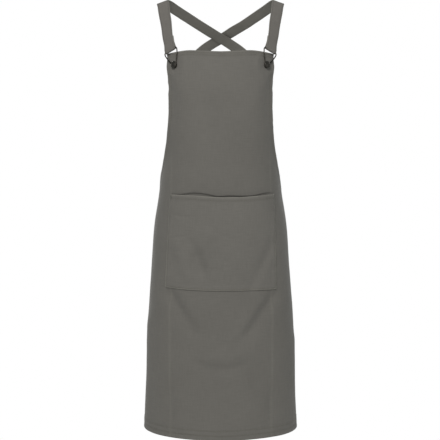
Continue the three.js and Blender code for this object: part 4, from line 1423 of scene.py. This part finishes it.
# %% Stitching on the panel and the pocket
OUTSIDE = CLOTH / 2 + HEM_RIDGE - GROOVE_DEPTH + 0.1
INSIDE = 2 * FOLD_RADIUS + STRIP / 2 + 0.1 - HEM_RIDGE
POCKET_SEAM_FROM = 1.0
panel_seams = []
for name, hem in HEMS.items():
    inward = inward_of(hem["path"], MIDDLE_OF_PANEL)
    for _, sign in sided(name, hem["mirrored"]):
        for distance in hem["stitches"]:
            line = (hem["path"] + inward * distance) * (sign, 1)
            panel_seams.append(seam_places(line, panel_point, OUTSIDE))
            panel_seams.append(seam_places(line, panel_point, -INSIDE))
panel_stitches = add_piece(stitch_mesh("panel_stitches", panel_seams), thread)


def pocket_line(inset):
    """The line of a seam down one side of the pocket, along its bottom and up the other side."""
    z = POCKET_TOP - np.linspace(POCKET_SEAM_FROM, POCKET_HEIGHT - inset, 60)
    half = pocket_half(z) - inset
    left, right = (np.stack([pocket_middle(z) + sign * half, z], axis=-1) for sign in (-1, 1))
    line = np.vstack([left, right[::-1]])
    line[:, 1] += corner_lift(line[:, 0], line[:, 1])
    return line


pocket_seams = [seam_places(pocket_line(at), pocket_point, OUTSIDE) for at in POCKET_STITCHES]
for distance in MOUTH_STITCHES:
    pocket_seams.append(seam_places(mouth_path + mouth_inward * distance, pocket_point, OUTSIDE))
print("panel stitches:", len(panel_stitches.data.polygons) // 20)

# %% [markdown]
# Bartacks are tight bars of zigzag stitching where a seam takes a pull. There is one at each corner of
# the pocket's mouth.

# %% Bartacks
BARTACK_LENGTH = 9.0
BARTACK_PITCH = 0.7
BARTACK_INSET = 3.0
BARTACK_RISE = 0.25


def bartack(s, z, surface, height):
    """A vertical bar of short stitches laid across it."""
    count = int(BARTACK_LENGTH / BARTACK_PITCH)
    drops = z - BARTACK_PITCH * np.arange(count)
    across = np.full(count, float(s))
    normal = outward(surface, across, drops)
    points = surface(across, drops) + normal * height
    sideways = surface(across + 1, drops) - surface(across - 1, drops)
    return points, sideways, normal


for side in SIDES.values():
    corner = POCKET_TOP_SHIFT + side * (POCKET_TOP_WIDTH / 2 - BARTACK_INSET)
    pocket_seams.append(bartack(corner, POCKET_TOP - POCKET_SEAM_FROM, pocket_point, OUTSIDE + BARTACK_RISE))
pocket_stitches = add_piece(stitch_mesh("pocket_stitches", pocket_seams), thread)
print("pocket stitches:", len(pocket_stitches.data.polygons) // 20)

# %% Stitching on the straps
def strap_places(side, rows):
    """Stitches on a strap from rows of across, walked and which face."""
    sections = strap_rows[side]
    walked = np.array([section[3] for section in sections])
    across, at, out = np.array(rows, float).T
    parts = [np.array([tuple(section[part]) for section in sections]) for part in range(3)]
    centre, sideways, face = (found_along(part, walked, at) for part in parts)
    face = face / np.linalg.norm(face, axis=-1, keepdims=True)
    points = centre + sideways * across[:, None] + face * out[:, None]
    return points, np.gradient(points, axis=0), face * np.sign(out)[:, None]


def line_between(start, end, out):
    length = math.hypot(end[0] - start[0], end[1] - start[1])
    count = max(2, int(length / STITCH_PITCH))
    return [
        (start[0] + (end[0] - start[0]) * step / count, start[1] + (end[1] - start[1]) * step / count, out)
        for step in range(count + 1)
    ]


STITCH_RISE = 0.75
BOX_RISE = 1.15
BOX_HALF = 9.5
BOX_FROM_END = 4.0
BOX_FROM_WING_TOP = 5.0
SEAM_START, SEAM_STOP = 3.0, 2.0
TAIL_ROWS = (22.0, 28.0)
for side_name, side in SIDES.items():
    end = strap_rows[side][-1][3]
    seams = []
    for edge_at in (-EDGE_STITCH, EDGE_STITCH):
        for out in (-STITCH_RISE, STITCH_RISE):
            seams.append(line_between((edge_at, SEAM_START), (edge_at, end - SEAM_STOP), out))
    for tail_row in TAIL_ROWS:
        seams.append(line_between((-EDGE_STITCH, tail_row), (EDGE_STITCH, tail_row), BOX_RISE))
    low, high = end - BOX_FROM_END, end - STRAP_OVERLAP + BOX_FROM_WING_TOP
    box = [(-BOX_HALF, low), (BOX_HALF, low), (BOX_HALF, high), (-BOX_HALF, high), (-BOX_HALF, low)]
    for start, stop in [*zip(box, box[1:]), (box[0], box[2]), (box[1], box[3])]:
        seams.append(line_between(start, stop, BOX_RISE))
    mesh = stitch_mesh(f"strap_{side_name}_stitches", [strap_places(side, rows) for rows in seams])
    add_piece(mesh, thread)
    print("strap", side_name, "stitches:", len(mesh.polygons) // 20)

# %% Sheets
print("cloth pieces made above")

# %% [markdown]
# ## Floor
# The apron hangs at the height at which it is worn, so the floor lies well below its hem. It is a pale
# round platform with a little light of its own, as in a studio where the floor is lit until its shadow
# goes. It ends before it would come into the photograph's frame.

# %% Floor
FLOOR_HEIGHT = -1.43
FLOOR_RADIUS = 1.3
FLOOR_GLOW = 0.1
shape = bmesh.new()
bmesh.ops.create_circle(shape, cap_ends=True, segments=96, radius=FLOOR_RADIUS)
bmesh.ops.translate(shape, vec=(0, 0, FLOOR_HEIGHT), verts=shape.verts)
floor_mesh = bpy.data.meshes.new("floor")
shape.to_mesh(floor_mesh)
shape.free()
floor = bpy.data.objects.new("floor", floor_mesh)
floor_finish = plain_finish("lit pale studio floor", "#dededc", 0.9)
floor_shader = floor_finish.node_tree.nodes["Principled BSDF"]
floor_shader.inputs["Emission Color"].default_value = (1.0, 1.0, 1.0, 1.0)
floor_shader.inputs["Emission Strength"].default_value = FLOOR_GLOW
floor_mesh.materials.append(floor_finish)
bpy.context.collection.objects.link(floor)
floor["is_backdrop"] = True
print("floor at", FLOOR_HEIGHT, "m")

# %% Overall size
low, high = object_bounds()
print("size:", [round(b - a, 4) for a, b in zip(low, high)])
